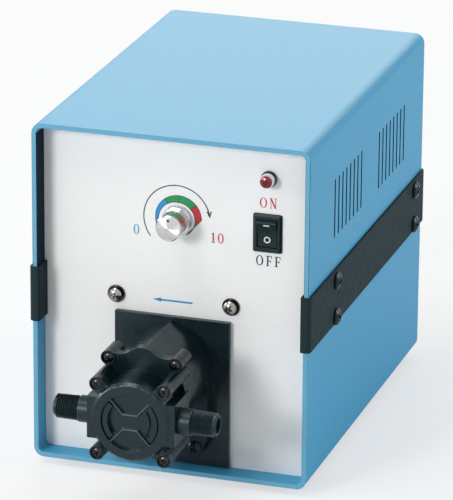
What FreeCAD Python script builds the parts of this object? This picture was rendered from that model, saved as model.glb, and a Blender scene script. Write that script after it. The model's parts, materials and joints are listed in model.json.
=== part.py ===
import FreeCAD, Part
import math
import os
import re
import Sketcher

# Bench-top gear pump: a sheet-metal drive case with a speed dial, a rocker switch
# and a pilot lamp, and a moulded gear pump head driven through a magnet coupling.
# Millimetres. +Z is up, the control panel faces -Y, X = 0 is the middle of the case.
# Y = 0 is half way between the pump's front and the rear of the rails, Z = 0 is the floor.

Vector = FreeCAD.Vector
Rotation = FreeCAD.Rotation

# Driving sizes

SIZES = {
    # Case covers, folded from sheet with hemmed front and rear edges
    "case_width": 150.0,
    "case_height": 185.0,
    "case_depth": 220.0,
    "cover_sheet": 1.3,
    "bend_radius": 5.5,
    "joint_height": 91.0,
    "joint_gap": 0.2,
    # Rubber feet and their screws
    "foot_height": 4.0,
    "foot_radius": 7.0,
    "foot_top_radius": 8.0,
    "foot_inset_x": 20.0,
    "foot_inset_y": 38.0,
    "foot_screw_radius": 1.5,
    "foot_screw_head_radius": 2.9,
    "foot_screw_head_height": 1.6,
    "foot_well_depth": 2.4,
    "foot_screw_reach": 4.0,
    # Front and rear panels
    "panel_recess": 11.8,
    "panel_sheet": 1.6,
    "panel_gap": 0.25,
    "flange_depth": 14.0,
    "flange_side_gap": 14.0,
    "base_screw_spacing": 90.0,
    "floor_screw_radius": 1.5,
    "floor_screw_head_radius": 2.7,
    "floor_screw_head_height": 1.7,
    "floor_screw_reach": 3.0,
    # Side rails that join the two covers
    "rail_sheet": 1.5,
    "rail_below": 14.5,
    "rail_above": 15.5,
    "rail_bend_radius": 2.6,
    "rail_leg_gap": 0.2,
    "rail_screw_front": 46.0,
    "rail_screw_rear": 19.5,
    "rail_screw_below": 10.5,
    "rail_screw_above": 9.5,
    "rail_screw_radius": 2.0,
    "rail_head_radius": 4.7,
    "rail_head_height": 2.7,
    "rail_nut_radius": 3.6,
    "rail_nut_height": 3.0,
    "screw_clearance": 0.2,
    "thread_clearance": 0.03,
    # Ventilation slots in the sides of the upper cover
    "slot_width": 1.8,
    "slot_length": 32.0,
    "slot_pitch": 7.1,
    "slot_count": 8,
    "slot_drop": 45.2,
    "front_vent_start": 46.2,
    "rear_vent_start": 89.7,
    # Speed dial
    "knob_x": 0.4,
    "knob_drop": 48.4,
    "knob_radius": 6.9,
    "knob_height": 12.6,
    "knob_skirt_radius": 8.3,
    "knob_skirt_height": 2.2,
    "knob_gap": 0.5,
    "knob_edge": 0.5,
    "knob_well_radius": 6.0,
    "knob_well_depth": 3.6,
    "knob_socket_depth": 10.5,
    "pot_shaft_radius": 3.0,
    "pot_shaft_end": 1.0,
    "shaft_fit": 0.04,
    "pot_bush_radius": 3.6,
    "pot_bush_height": 5.2,
    "pot_radius": 9.0,
    "pot_depth": 10.0,
    "pot_floor": 1.5,
    "pot_wiper_radius": 7.0,
    "pot_wiper_height": 2.0,
    "pot_wiper_gap": 0.5,
    "pot_nut_radius": 5.2,
    "pot_nut_height": 2.2,
    # Rocker switch
    "switch_x": 49.3,
    "switch_drop": 50.1,
    "bezel_width": 15.7,
    "bezel_height": 21.0,
    "bezel_thickness": 1.8,
    "bezel_edge": 1.1,
    "switch_body_width": 13.4,
    "switch_body_height": 19.0,
    "switch_body_depth": 14.5,
    "rocker_width": 10.4,
    "rocker_radius": 7.9,
    "rocker_gap": 0.3,
    "rocker_pivot_depth": 3.2,
    "rocker_face_depth": 2.6,
    "rocker_rear": 4.5,
    "rocker_tilt": 10.0,
    "rocker_pin_radius": 1.1,
    "rocker_pin_reach": 0.9,
    "rocker_pin_fit": 0.06,
    "blade_width": 4.8,
    "blade_thickness": 0.8,
    "blade_length": 8.0,
    "blade_spacing": 7.0,
    # Pilot lamp
    "lamp_x": 49.8,
    "lamp_drop": 20.7,
    "lamp_bezel_radius": 4.3,
    "lamp_bezel_height": 2.4,
    "lamp_neck_radius": 3.2,
    "lamp_neck_length": 10.0,
    "lamp_lens_radius": 2.9,
    "lamp_lens_height": 7.4,
    "lamp_lens_crown": 2.4,
    "lamp_facet_radius": 1.75,
    "lamp_facet_drop": 0.6,
    "lamp_lens_fit": 0.05,
    "lamp_nut_radius": 4.9,
    "lamp_nut_height": 2.0,
    # Screws with washers that hang the motor bracket on the panel
    "panel_screw_spacing": 62.7,
    "panel_screw_z": 92.3,
    "panel_screw_radius": 2.0,
    "panel_head_radius": 3.6,
    "panel_head_height": 2.5,
    "flat_washer_radius": 4.75,
    "flat_washer_height": 0.8,
    "spring_washer_radius": 3.4,
    "spring_washer_height": 1.0,
    # Motor and its bracket
    "bracket_sheet": 2.5,
    "bracket_half_width": 38.0,
    "bracket_low": 8.0,
    "bracket_high": 100.0,
    "bracket_lip": 9.0,
    "motor_radius": 24.0,
    "motor_length": 66.0,
    "motor_wall": 1.5,
    "motor_cap_thickness": 3.0,
    "motor_boss_radius": 8.5,
    "motor_boss_height": 3.5,
    "boss_clearance": 0.3,
    "motor_shaft_radius": 3.0,
    "motor_screw_circle": 16.0,
    "motor_screw_radius": 1.5,
    "motor_screw_head_radius": 2.75,
    "motor_screw_head_height": 1.6,
    "rear_hub": 2.5,
    "bearing_radius": 6.5,
    "bearing_length": 4.0,
    "armature_radius": 17.5,
    "armature_length": 38.0,
    "armature_slots": 7,
    "armature_slot_width": 2.4,
    "armature_slot_depth": 7.0,
    "armature_start": 10.0,
    "commutator_radius": 7.0,
    "commutator_length": 9.0,
    "magnet_thickness": 4.4,
    "magnet_half_angle": 62.0,
    "brush_width": 4.0,
    "brush_gap": 0.3,
    # Pump plate and the housing of the magnet coupling
    "pump_x": -1.4,
    "plate_half_width": 31.4,
    "plate_low": 3.1,
    "plate_high": 84.0,
    "plate_sheet": 3.0,
    "head_z": 50.4,
    "gear_teeth": 12,
    "gear_module": 1.25,
    "gear_width": 9.0,
    "gear_pressure_angle": 25.0,
    "gear_dedendum": 1.2,
    "gear_flank_steps": 6,
    "gear_backlash": 0.16,
    "gear_side_gap": 0.06,
    "gear_tip_gap": 0.12,
    "barrel_radius": 22.6,
    "barrel_bore": 19.4,
    "gable_height": 24.3,
    "gable_sink": 0.1,
    "lug_radius": 5.2,
    "lug_spacing": 31.0,
    "lug_drop": 34.5,
    "lug_web_half": 22.4,
    "lug_web_low": 20.0,
    "lug_web_inset": 1.0,
    "lug_web_drop": 2.0,
    "lug_height": 8.8,
    "lug_screw_radius": 2.0,
    "lug_head_radius": 3.8,
    "lug_head_height": 2.6,
    # Pump head: distances ahead of the case's front edge
    "head_front": 59.0,
    "disc_rise": 1.7,
    "cover_rear": 53.0,
    "flange_front": 39.4,
    "flange_sheet": 3.0,
    "housing_sheet": 2.6,
    "disc_radius": 21.5,
    "disc_chamfer": 1.6,
    "dish_radius": 15.5,
    "dish_depth": 1.5,
    "rib_width": 0.9,
    "rib_drop": 0.3,
    "rib_inner": 3.6,
    "rib_inner_height": 4.5,
    "rib_outer": 10.2,
    "rib_outer_height": 11.6,
    "arc_inner": 12.0,
    "arc_outer": 14.8,
    "arc_half_angle": 41.0,
    "crescent_inner": 10.2,
    "crescent_depth": 1.6,
    "crescent_half_angle": 37.0,
    "groove_depth": 0.8,
    "ear_radius": 3.9,
    "ear_spacing_x": 36.0,
    "ear_spacing_z": 37.6,
    "ear_boss_rear": 27.0,
    "ear_rim_height": 1.1,
    "block_half_width": 23.6,
    "block_half_height": 11.4,
    "top_ear_z": 77.0,
    "top_ear_boss_rear": 25.0,
    "neck_half": 19.1,
    "crest_rise": 2.1,
    "shoulder_half": 6.0,
    "shoulder_z": 82.0,
    "dip_drop": 2.0,
    "web_half": 3.7,
    "cap_screw_radius": 1.5,
    "cap_head_radius": 3.0,
    "cap_head_height": 1.5,
    "cap_screw_bite": 6.0,
    "seal_section": 1.6,
    "seal_radius": 18.7,
    # Ports with pipe threads
    "port_ahead": 47.5,
    "port_reach": 43.8,
    "port_neck_radius": 7.0,
    "port_thread_radius": 6.58,
    "port_thread_length": 13.4,
    "port_chamfer": 0.9,
    "port_bore_radius": 4.1,
    "port_spigot_radius": 4.9,
    "port_spigot_length": 3.2,
    "passage_radius": 3.2,
    # Shafts, bushes and magnets inside the head
    "shaft_radius": 2.5,
    "bush_radius": 4.2,
    "bush_length": 3.6,
    "inner_magnet_radius": 9.0,
    "inner_magnet_length": 18.0,
    "magnet_gap": 0.8,
    "can_wall": 1.2,
    "can_flange_radius": 13.0,
    "can_flange_sheet": 1.6,
    "outer_magnet_wall": 4.5,
    "outer_magnet_floor": 4.0,
    # Power parts inside the case
    "transformer_x": -34.0,
    "transformer_ahead": 136.0,
    "transformer_width": 50.0,
    "transformer_depth": 26.0,
    "transformer_height": 42.0,
    "coil_depth": 40.0,
    "coil_width": 34.0,
    "core_leg": 16.0,
    "core_yoke": 8.0,
    "board_x": 34.0,
    "board_ahead": 138.0,
    "board_width": 58.0,
    "board_depth": 72.0,
    "board_sheet": 1.6,
    "board_inset": 5.0,
    "standoff_radius": 2.75,
    "standoff_height": 8.0,
    "standoff_screw_radius": 1.4,
    "standoff_head_height": 1.6,
    "capacitor_radius": 8.0,
    "capacitor_height": 26.0,
    "capacitor_gap": 1.0,
    "heat_sink_width": 24.0,
    "heat_sink_depth": 6.0,
    "heat_sink_height": 22.0,
    "fin_sheet": 1.6,
    "fin_count": 6,
    "cord_bush_x": -42.0,
    "cord_bush_z": 34.0,
    "cord_bush_radius": 6.2,
    "cord_bush_flange": 9.0,
    "cord_bush_flange_height": 3.5,
    "cord_bush_nose": 9.5,
    "cord_hole_radius": 3.8,
    "fuse_x": 42.0,
    "fuse_z": 34.0,
    "fuse_body_radius": 6.2,
    "fuse_body_depth": 26.0,
    "fuse_collar_radius": 8.5,
    "fuse_collar_height": 2.5,
    "fuse_cap_radius": 5.6,
    "fuse_cap_height": 7.0,
    "fuse_radius": 2.5,
    "fuse_length": 20.0,
}

# Planes and centres worked out from the driving sizes

DERIVED = {
    "half_width": "case_width / 2",
    "front_y": "(head_front - case_depth - rail_sheet) / 2",
    "rear_y": "front_y + case_depth",
    "base_z": "foot_height",
    "joint_z": "base_z + joint_height",
    "top_z": "base_z + case_height",
    "hem": "2 * cover_sheet",
    "panel_y": "front_y + panel_recess",
    "inside_y": "panel_y + panel_sheet",
    "back_panel_y": "rear_y - panel_recess",
    "panel_half": "half_width - cover_sheet - panel_gap",
    "panel_low": "base_z + cover_sheet + panel_gap",
    "panel_top": "top_z - cover_sheet - panel_gap",
    "panel_corner": "bend_radius - cover_sheet - panel_gap",
    "flange_half": "panel_half - flange_side_gap",
    "floor_z": "base_z + cover_sheet",
    "knob_centre": "top_z - knob_drop",
    "switch_centre": "top_z - switch_drop",
    "lamp_centre": "top_z - lamp_drop",
    "bracket_y": "inside_y + bracket_sheet",
    "gear_centres": "gear_teeth * gear_module",
    "gear_tip": "gear_centres / 2 + gear_module",
    "head_centre": "base_z + head_z",
    "ear_reach": "sqrt(ear_spacing_x ^ 2 + ear_spacing_z ^ 2) / 2",
    "drive_z": "head_centre + gear_centres / 2",
    "driven_z": "head_centre - gear_centres / 2",
    "plate_y": "panel_y - plate_sheet",
    "knob_y": "panel_y - knob_gap",
    "socket_y": "knob_y - knob_socket_depth",
    "wiper_y": "inside_y + pot_floor + pot_wiper_gap",
    "diagonal": "motor_screw_circle * cos(45)",
    "disc_y": "front_y - head_front",
    "ear_y": "disc_y + disc_rise",
    "cover_y": "front_y - cover_rear",
    "flange_y": "front_y - flange_front",
    "seat_y": "flange_y + flange_sheet",
    "ear_screw_end": "seat_y + cap_screw_bite",
    "top_screw_end": "seat_y + 2 * cap_screw_bite",
    "port_y": "front_y - port_ahead",
    "gear_start": "cover_y + gear_side_gap",
    "gear_end": "gear_start + gear_width",
    "chamber_end": "gear_end + gear_side_gap",
    "can_start": "seat_y - can_flange_sheet",
    "magnet_start": "seat_y + 2 * magnet_gap",
    "magnet_end": "magnet_start + inner_magnet_length",
    "can_inner": "inner_magnet_radius + magnet_gap",
    "can_outer": "can_inner + can_wall",
    "can_end": "magnet_end + magnet_gap + can_wall",
    "outer_inner": "can_outer + magnet_gap",
    "outer_outer": "outer_inner + outer_magnet_wall",
    "outer_floor_y": "can_end + 2 * magnet_gap",
    "outer_end": "outer_floor_y + outer_magnet_floor",
    "motor_end": "bracket_y + motor_length",
    "armature_y": "bracket_y + armature_start",
}

doc = FreeCAD.newDocument("gear_pump")
sheet = doc.addObject("Spreadsheet::Sheet", "dims")
NAMES = set(SIZES) | set(DERIVED)
NODES = []


def formula(text):
    """Point each size named in the text at its cell."""
    return re.sub(r"[a-z_]+", lambda word: "dims." + word.group() if word.group() in NAMES else word.group(),
                  str(text))


def fill_sheet():
    row = 0
    for name, value in SIZES.items():
        row += 1
        sheet.set(f"A{row}", name)
        sheet.set(f"B{row}", str(value))
        sheet.setAlias(f"B{row}", name)
    for name, text in DERIVED.items():
        row += 1
        sheet.set(f"A{row}", name)
        sheet.set(f"B{row}", "=" + text)
        sheet.setAlias(f"B{row}", name)
    doc.recompute()


def number(text):
    """The present value of a formula."""
    result = sheet.evalExpression(str(text))
    return float(getattr(result, "Value", result))


fill_sheet()

# Helpers for primitives and booleans

TURNS = {
    "x": Rotation(Vector(0, 1, 0), 90),
    "-x": Rotation(Vector(0, 1, 0), -90),
    "y": Rotation(Vector(1, 0, 0), -90),
    "-y": Rotation(Vector(1, 0, 0), 90),
    "z": Rotation(),
    "-z": Rotation(Vector(1, 0, 0), 180),
}


def bind(piece, **sizes):
    for name, text in sizes.items():
        piece.setExpression(name, formula(text))


def put(piece, spot, direction="z"):
    """Stand a piece made along its own Z at a spot, pointing in a direction."""
    piece.Placement = FreeCAD.Placement(Vector(), TURNS[direction])
    for letter, text in zip("xyz", spot):
        piece.setExpression("Placement.Base." + letter, formula(text))
    return piece


def box(name, x, y, z):
    """A block between two formulas along each axis."""
    piece = doc.addObject("Part::Box", name)
    bind(piece, Length=f"({x[1]}) - ({x[0]})", Width=f"({y[1]}) - ({y[0]})", Height=f"({z[1]}) - ({z[0]})")
    return put(piece, (x[0], y[0], z[0]))


def rod(name, radius, length, spot, direction="z"):
    piece = doc.addObject("Part::Cylinder", name)
    bind(piece, Radius=radius, Height=length)
    return put(piece, spot, direction)


def fuse(name, pieces):
    whole = doc.addObject("Part::MultiFuse", name)
    whole.Shapes = pieces
    whole.Refine = True
    return whole


def cut(name, base, tools, refine=True):
    tool = tools[0] if len(tools) == 1 else fuse(name + "_tools", tools)
    rest = doc.addObject("Part::Cut", name)
    rest.Refine = refine
    rest.Base = base
    rest.Tool = tool
    return rest


def group(name, pieces):
    """Identical separate pieces that share one node."""
    bundle = doc.addObject("Part::Compound", name)
    bundle.Links = pieces
    return node(name, bundle)


def node(name, piece):
    """Give a finished sub-part its own label, which names its file."""
    piece.Label = name
    NODES.append(piece)
    return piece


# Helpers for sketched bodies

def new_body(name):
    body = doc.addObject("PartDesign::Body", name)
    return node(name, body)


def new_sketch(body, role, offset="0"):
    sketch = body.newObject("Sketcher::SketchObject", body.Label + "_sketch")
    plane = [feature for feature in body.Origin.OriginFeatures if feature.Role == role][0]
    sketch.AttachmentSupport = (plane, [""])
    sketch.MapMode = "FlatFace"
    sketch.setExpression("AttachmentOffset.Base.z", formula(offset))
    return sketch


def hold(sketch, edge, end, u, v):
    """Fix one point of an edge at two distances from the sketch's origin."""
    for kind, text in (("DistanceX", u), ("DistanceY", v)):
        index = sketch.addConstraint(Sketcher.Constraint(kind, -1, 1, edge, end, number(text)))
        sketch.setExpression(f"Constraints[{index}]", formula(text))


def draw_outline(sketch, corners):
    """A closed outline through corners given as formulas: across, up and, for an arc, its bulge.

    The bulge is how far the middle of the edge that leaves the corner stands out to the left of its chord.
    """
    points = [Vector(number(corner[0]), number(corner[1]), 0) for corner in corners]
    first = sketch.GeometryCount
    count = len(corners)
    ends = []
    for index, corner in enumerate(corners):
        start, end = points[index], points[(index + 1) % count]
        bulge = number(corner[2]) if len(corner) > 2 else 0
        # A sketch keeps its arcs anticlockwise, so one that bulges to the left is drawn from its far end.
        ends.append((2, 1) if bulge > 0 else (1, 2))
        if bulge:
            left = Vector(start.y - end.y, end.x - start.x, 0).normalize()
            middle = (start + end) / 2 + left * bulge
            arc = (end, middle, start) if bulge > 0 else (start, middle, end)
            sketch.addGeometry(Part.Arc(*arc), False)
        else:
            sketch.addGeometry(Part.LineSegment(start, end), False)
    for index in range(count):
        following = (index + 1) % count
        sketch.addConstraint(Sketcher.Constraint("Coincident", first + index, ends[index][1],
                                                 first + following, ends[following][0]))
    for index, corner in enumerate(corners):
        hold(sketch, first + index, ends[index][0], corner[0], corner[1])
        if len(corner) > 2 and number(corner[2]):
            across = f"(({corner[0]}) - ({corners[(index + 1) % count][0]}))"
            up = f"(({corner[1]}) - ({corners[(index + 1) % count][1]}))"
            rise = f"abs({corner[2]})"
            radius = f"({across} ^ 2 + {up} ^ 2) / (8 * {rise}) + {rise} / 2"
            row = sketch.addConstraint(Sketcher.Constraint("Radius", first + index, number(radius)))
            sketch.setExpression(f"Constraints[{row}]", formula(radius))


def draw_rectangle(sketch, u, v):
    draw_outline(sketch, [(u[0], v[0]), (u[1], v[0]), (u[1], v[1]), (u[0], v[1])])


def draw_circle(sketch, u, v, radius):
    circle = Part.Circle(Vector(number(u), number(v), 0), Vector(0, 0, 1), number(radius))
    edge = sketch.addGeometry(circle, False)
    hold(sketch, edge, 3, u, v)
    index = sketch.addConstraint(Sketcher.Constraint("Radius", edge, number(radius)))
    sketch.setExpression(f"Constraints[{index}]", formula(radius))


def draw_slot(sketch, u, v, width, length):
    """An upright slot with round ends, from two arcs and two lines."""
    radius = f"({width}) / 2"
    reach = f"({length}) / 2 - {radius}"
    middle_u, middle_v = number(u), number(v)
    half, rise = number(radius), number(reach)
    upper, lower = Vector(middle_u, middle_v + rise, 0), Vector(middle_u, middle_v - rise, 0)
    across, normal = Vector(half, 0, 0), Vector(0, 0, 1)
    pieces = (
        Part.ArcOfCircle(Part.Circle(upper, normal, half), 0, math.pi),
        Part.LineSegment(upper - across, lower - across),
        Part.ArcOfCircle(Part.Circle(lower, normal, half), math.pi, 2 * math.pi),
        Part.LineSegment(lower + across, upper + across),
    )
    top, left, low, right = [sketch.addGeometry(piece, False) for piece in pieces]
    for one, two in ((top, left), (left, low), (low, right), (right, top)):
        sketch.addConstraint(Sketcher.Constraint("Tangent", one, 2, two, 1))
    hold(sketch, top, 3, u, f"{v} + {reach}")
    hold(sketch, low, 3, u, f"{v} - ({reach})")
    index = sketch.addConstraint(Sketcher.Constraint("Radius", top, half))
    sketch.setExpression(f"Constraints[{index}]", formula(radius))


def pad(body, sketch, length, reverse=False, both=False):
    feature = body.newObject("PartDesign::Pad", body.Label + "_pad")
    feature.Profile = (sketch, [""])
    feature.SideType = "Symmetric" if both else "One side"
    feature.Reversed = reverse
    bind(feature, Length=length)
    return feature


def pocket(body, sketch, length=None, reverse=False, both=False):
    """Cut to a length, or right through on both sides of the sketch."""
    feature = body.newObject("PartDesign::Pocket", body.Label + "_pocket")
    feature.Profile = (sketch, [""])
    if length is None:
        feature.SideType = "Two sides"
        feature.Type = "ThroughAll"
        feature.Type2 = "ThroughAll"
    else:
        feature.SideType = "Symmetric" if both else "One side"
        feature.Reversed = reverse
        bind(feature, Length=length)
    return feature


def chamfer_front(body, size, level):
    """Chamfer the edges of the flat face that lies at a level along Y."""
    doc.recompute()
    base = body.Tip
    plane = number(level)
    names = [f"Edge{index}" for index, edge in enumerate(base.Shape.Edges, 1)
             if all(abs(vertex.Y - plane) < 1e-4 for vertex in edge.Vertexes)]
    feature = body.newObject("PartDesign::Chamfer", body.Label + "_chamfer")
    feature.Base = (base, names)
    bind(feature, Size=size)
    return feature


def round_edges(body, radius, axis, spots):
    """Fillet the edges that run along an axis through the given spots in the other two axes."""
    doc.recompute()
    base = body.Tip
    others = [letter for letter in "xyz" if letter != axis]
    wanted = [tuple(number(text) for text in spot) for spot in spots]
    names = []
    for index, edge in enumerate(base.Shape.Edges, 1):
        start, end = edge.Vertexes[0].Point, edge.Vertexes[-1].Point
        place = [getattr(start, letter) for letter in others]
        straight = all(abs(getattr(end, letter) - value) < 1e-4 for letter, value in zip(others, place))
        if straight and any(math.dist(place, spot) < 1e-3 for spot in wanted):
            names.append(f"Edge{index}")
    feature = body.newObject("PartDesign::Fillet", body.Label + "_fillet")
    feature.Base = (base, names)
    bind(feature, Radius=radius)
    doc.recompute()
    return feature


def turned(name, profile, spot, direction):
    """A turned piece: its profile of radius and height pairs goes round its own Z."""
    body = new_body(name)
    sketch = new_sketch(body, "XZ_Plane")
    draw_outline(sketch, profile)
    feature = body.newObject("PartDesign::Revolution", name + "_turn")
    feature.Profile = (sketch, [""])
    feature.ReferenceAxis = (sketch, ["V_Axis"])
    feature.Angle = 360
    return put(body, spot, direction)


def screw(name, radius, reach, head_radius, head_height, spot, direction):
    """A screw whose head stands on the spot and whose shank runs the other way."""
    back = {"x": "-x", "-x": "x", "y": "-y", "-y": "y", "z": "-z", "-z": "z"}[direction]
    head = rod(name + "_head", head_radius, head_height, spot, direction)
    shank = rod(name + "_shank", radius, reach, spot, back)
    return fuse(name, [head, shank])


def ring(name, outer, inner, height, spot, direction):
    return cut(name, rod(name + "_disc", outer, height, spot, direction),
               [rod(name + "_hole", inner, height, spot, direction)])


def hex_nut(name, radius, hole, height, spot, direction):
    blank = doc.addObject("Part::Prism", name + "_blank")
    blank.Polygon = 6
    bind(blank, Circumradius=radius, Height=height)
    put(blank, spot, direction)
    return cut(name, blank, [rod(name + "_thread", hole, height, spot, direction)])


def sector(name, outer, inner, length, half_angle, spot, turn):
    """A piece of a ring along Y, centred on +X and then turned about Y by whole degrees."""
    rods = [rod(name + role, radius, length, ("0", "0", "0"))
            for role, radius in (("_outer", outer), ("_inner", inner))]
    for piece in rods:
        bind(piece, Angle=f"2 * {half_angle}")
    segment = cut(name, rods[0], rods[1:])
    put(segment, spot, "y")
    segment.Placement.Rotation = Rotation(Vector(0, 1, 0), turn - number(half_angle)) * TURNS["y"]
    return segment


# Sheet-metal case

RAIL_ROWS = ("front_y + rail_screw_front", "rear_y - rail_screw_rear")
RAIL_LEVELS = ("joint_z - rail_screw_below", "joint_z + rail_screw_above")
FOOT_SPOTS = [(f"{side} * (half_width - foot_inset_x)", row) for side in (-1, 1)
              for row in ("front_y + foot_inset_y", "rear_y - foot_inset_y")]
FLOOR_SCREWS = [(f"{side} * base_screw_spacing / 2", row) for side in (-1, 1)
                for row in ("inside_y + flange_depth / 2", "back_panel_y - panel_sheet - flange_depth / 2")]


def trough(wall, closed_z, open_z, inward):
    """The outline of a folded trough at a depth into its wall: two upright sides and two round bends."""
    edge, floor = f"(half_width - {wall})", f"({closed_z} + {inward} * {wall})"
    bend = f"(bend_radius - {wall})"
    bulge = f"{inward} * {bend} * (cos(45) - 1)"
    return [
        (f"-{edge}", open_z), (f"-{edge}", f"{floor} + {inward} * {bend}", bulge),
        (f"-{edge} + {bend}", floor), (f"{edge} - {bend}", floor, bulge),
        (edge, f"{floor} + {inward} * {bend}"), (edge, open_z),
    ]


def cover(name, closed_z, open_z, inward):
    """One half of the case: a folded trough with a doubled hem at its front and rear."""
    body = new_body(name)
    blank = new_sketch(body, "XZ_Plane", "-(rear_y)")
    draw_outline(blank, trough("0", closed_z, open_z, inward))
    pad(body, blank, "case_depth")
    for wall, start, length in (("hem", "front_y", "case_depth"),
                                ("cover_sheet", "panel_y", "case_depth - 2 * panel_recess")):
        inside = new_sketch(body, "XZ_Plane", f"-({start})")
        draw_outline(inside, trough(wall, closed_z, open_z, inward))
        pocket(body, inside, length)
    return body


def drill_sides(body, spots, radius):
    """Round holes along X through both sides of a body."""
    holes = new_sketch(body, "YZ_Plane")
    for y, z in spots:
        draw_circle(holes, y, z, radius)
    pocket(body, holes)


def lower_cover():
    body = cover("lower_cover", "base_z", "joint_z - joint_gap / 2", "1")
    drill_sides(body, [(row, RAIL_LEVELS[0]) for row in RAIL_ROWS],
                "rail_screw_radius + screw_clearance")
    floor = new_sketch(body, "XY_Plane", "floor_z")
    for x, y in FOOT_SPOTS:
        draw_circle(floor, x, y, "foot_screw_radius + thread_clearance")
    for x, y in FLOOR_SCREWS:
        draw_circle(floor, x, y, "floor_screw_radius + screw_clearance")
    pocket(body, floor, "2 * cover_sheet")


def upper_cover():
    body = cover("upper_cover", "top_z", "joint_z + joint_gap / 2", "-1")
    drill_sides(body, [(row, RAIL_LEVELS[1]) for row in RAIL_ROWS],
                "rail_screw_radius + screw_clearance")
    for start in ("front_y + front_vent_start", "rear_y - rear_vent_start"):
        vent = new_sketch(body, "YZ_Plane")
        draw_slot(vent, start, "top_z - slot_drop", "slot_width", "slot_length")
        slots = pocket(body, vent)
        pattern = body.newObject("PartDesign::LinearPattern", "vent_pattern")
        pattern.Originals = [slots]
        pattern.Direction = (vent, ["H_Axis"])
        pattern.Mode = "Spacing"
        bind(pattern, Offset="slot_pitch", Occurrences="slot_count")
        body.Tip = pattern
        doc.recompute()


def panel(name, front, rear, folded):
    """A flat panel with rounded corners and one folded flange that stands on the case floor."""
    body = new_body(name)
    blank = new_sketch(body, "XZ_Plane", f"-({rear})")
    draw_rectangle(blank, ("-panel_half", "panel_half"), ("panel_low", "panel_top"))
    pad(body, blank, "panel_sheet")
    corners = [(f"{side} * panel_half", level) for side in (-1, 1) for level in ("panel_low", "panel_top")]
    round_edges(body, "panel_corner", "y", corners)
    foot = new_sketch(body, "XZ_Plane", f"-({rear if folded else front})")
    draw_rectangle(foot, ("-flange_half", "flange_half"), ("panel_low", "panel_low + panel_sheet"))
    pad(body, foot, "flange_depth", reverse=folded)
    holes = new_sketch(body, "XY_Plane", "panel_low + panel_sheet")
    for x, y in FLOOR_SCREWS[0::2] if folded else FLOOR_SCREWS[1::2]:
        draw_circle(holes, x, y, "floor_screw_radius + thread_clearance")
    pocket(body, holes, "panel_sheet")
    return body


def front_panel():
    body = panel("front_panel", "panel_y", "inside_y", True)
    holes = new_sketch(body, "XZ_Plane", "-(inside_y)")
    draw_circle(holes, "knob_x", "knob_centre", "pot_bush_radius + screw_clearance")
    draw_circle(holes, "lamp_x", "lamp_centre", "lamp_neck_radius + screw_clearance")
    draw_circle(holes, "pump_x", "drive_z", "motor_boss_radius + boss_clearance")
    for side in (-1, 1):
        draw_circle(holes, f"pump_x + {side} * panel_screw_spacing / 2", "base_z + panel_screw_z",
                    "panel_screw_radius + screw_clearance")
        draw_circle(holes, f"pump_x + {side} * lug_spacing / 2", "head_centre - lug_drop",
                    "lug_screw_radius + screw_clearance")
    half, rise = "(switch_body_width / 2 + screw_clearance)", "(switch_body_height / 2 + screw_clearance)"
    draw_rectangle(holes, (f"switch_x - {half}", f"switch_x + {half}"),
                   (f"switch_centre - {rise}", f"switch_centre + {rise}"))
    pocket(body, holes)


def rear_panel():
    body = panel("rear_panel", "back_panel_y - panel_sheet", "back_panel_y", False)
    holes = new_sketch(body, "XZ_Plane", "-(back_panel_y)")
    draw_circle(holes, "cord_bush_x", "base_z + cord_bush_z", "cord_bush_radius + screw_clearance")
    draw_circle(holes, "fuse_x", "base_z + fuse_z", "fuse_body_radius + screw_clearance")
    pocket(body, holes)


def rail(name, side):
    """A flat strip that laps the joint of the covers and folds round their front and rear edges."""
    body = new_body(name)
    outer, face = f"{side} * (half_width + rail_sheet)", f"{side} * half_width"
    leg_outer, leg_inner = f"{side} * (half_width - hem)", f"{side} * (half_width - hem - rail_sheet)"
    leg_front, leg_rear = "panel_y - rail_leg_gap", "back_panel_y + rail_leg_gap"
    fold_front, fold_rear = "front_y - rail_sheet", "rear_y + rail_sheet"
    strip = new_sketch(body, "XY_Plane", "joint_z - rail_below")
    draw_outline(strip, [
        (outer, fold_front), (outer, fold_rear), (leg_inner, fold_rear), (leg_inner, leg_rear),
        (leg_outer, leg_rear), (leg_outer, "rear_y"), (face, "rear_y"), (face, "front_y"),
        (leg_outer, "front_y"), (leg_outer, leg_front), (leg_inner, leg_front), (leg_inner, fold_front),
    ])
    pad(body, strip, "rail_below + rail_above")
    round_edges(body, "rail_bend_radius", "z", [(outer, fold_front), (outer, fold_rear)])
    round_edges(body, "rail_bend_radius / 2", "z", [(leg_inner, fold_front), (leg_inner, fold_rear)])
    drill_sides(body, [(row, level) for row in RAIL_ROWS for level in RAIL_LEVELS],
                "rail_screw_radius + screw_clearance")


def rail_fixings():
    screws = []
    nuts = []
    reach = "rail_sheet + cover_sheet + rail_nut_height"
    for side, outward in ((-1, "-x"), (1, "x")):
        inward = "x" if side < 0 else "-x"
        for y in RAIL_ROWS:
            for z in RAIL_LEVELS:
                head = (f"{side} * (half_width + rail_sheet)", y, z)
                screws.append(screw("rail_screw", "rail_screw_radius", reach, "rail_head_radius",
                                    "rail_head_height", head, outward))
                nuts.append(ring("rail_nut", "rail_nut_radius", "rail_screw_radius + thread_clearance",
                                 "rail_nut_height", (f"{side} * (half_width - cover_sheet)", y, z), inward))
    group("rail_screws", screws)
    group("rail_nuts", nuts)


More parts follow.
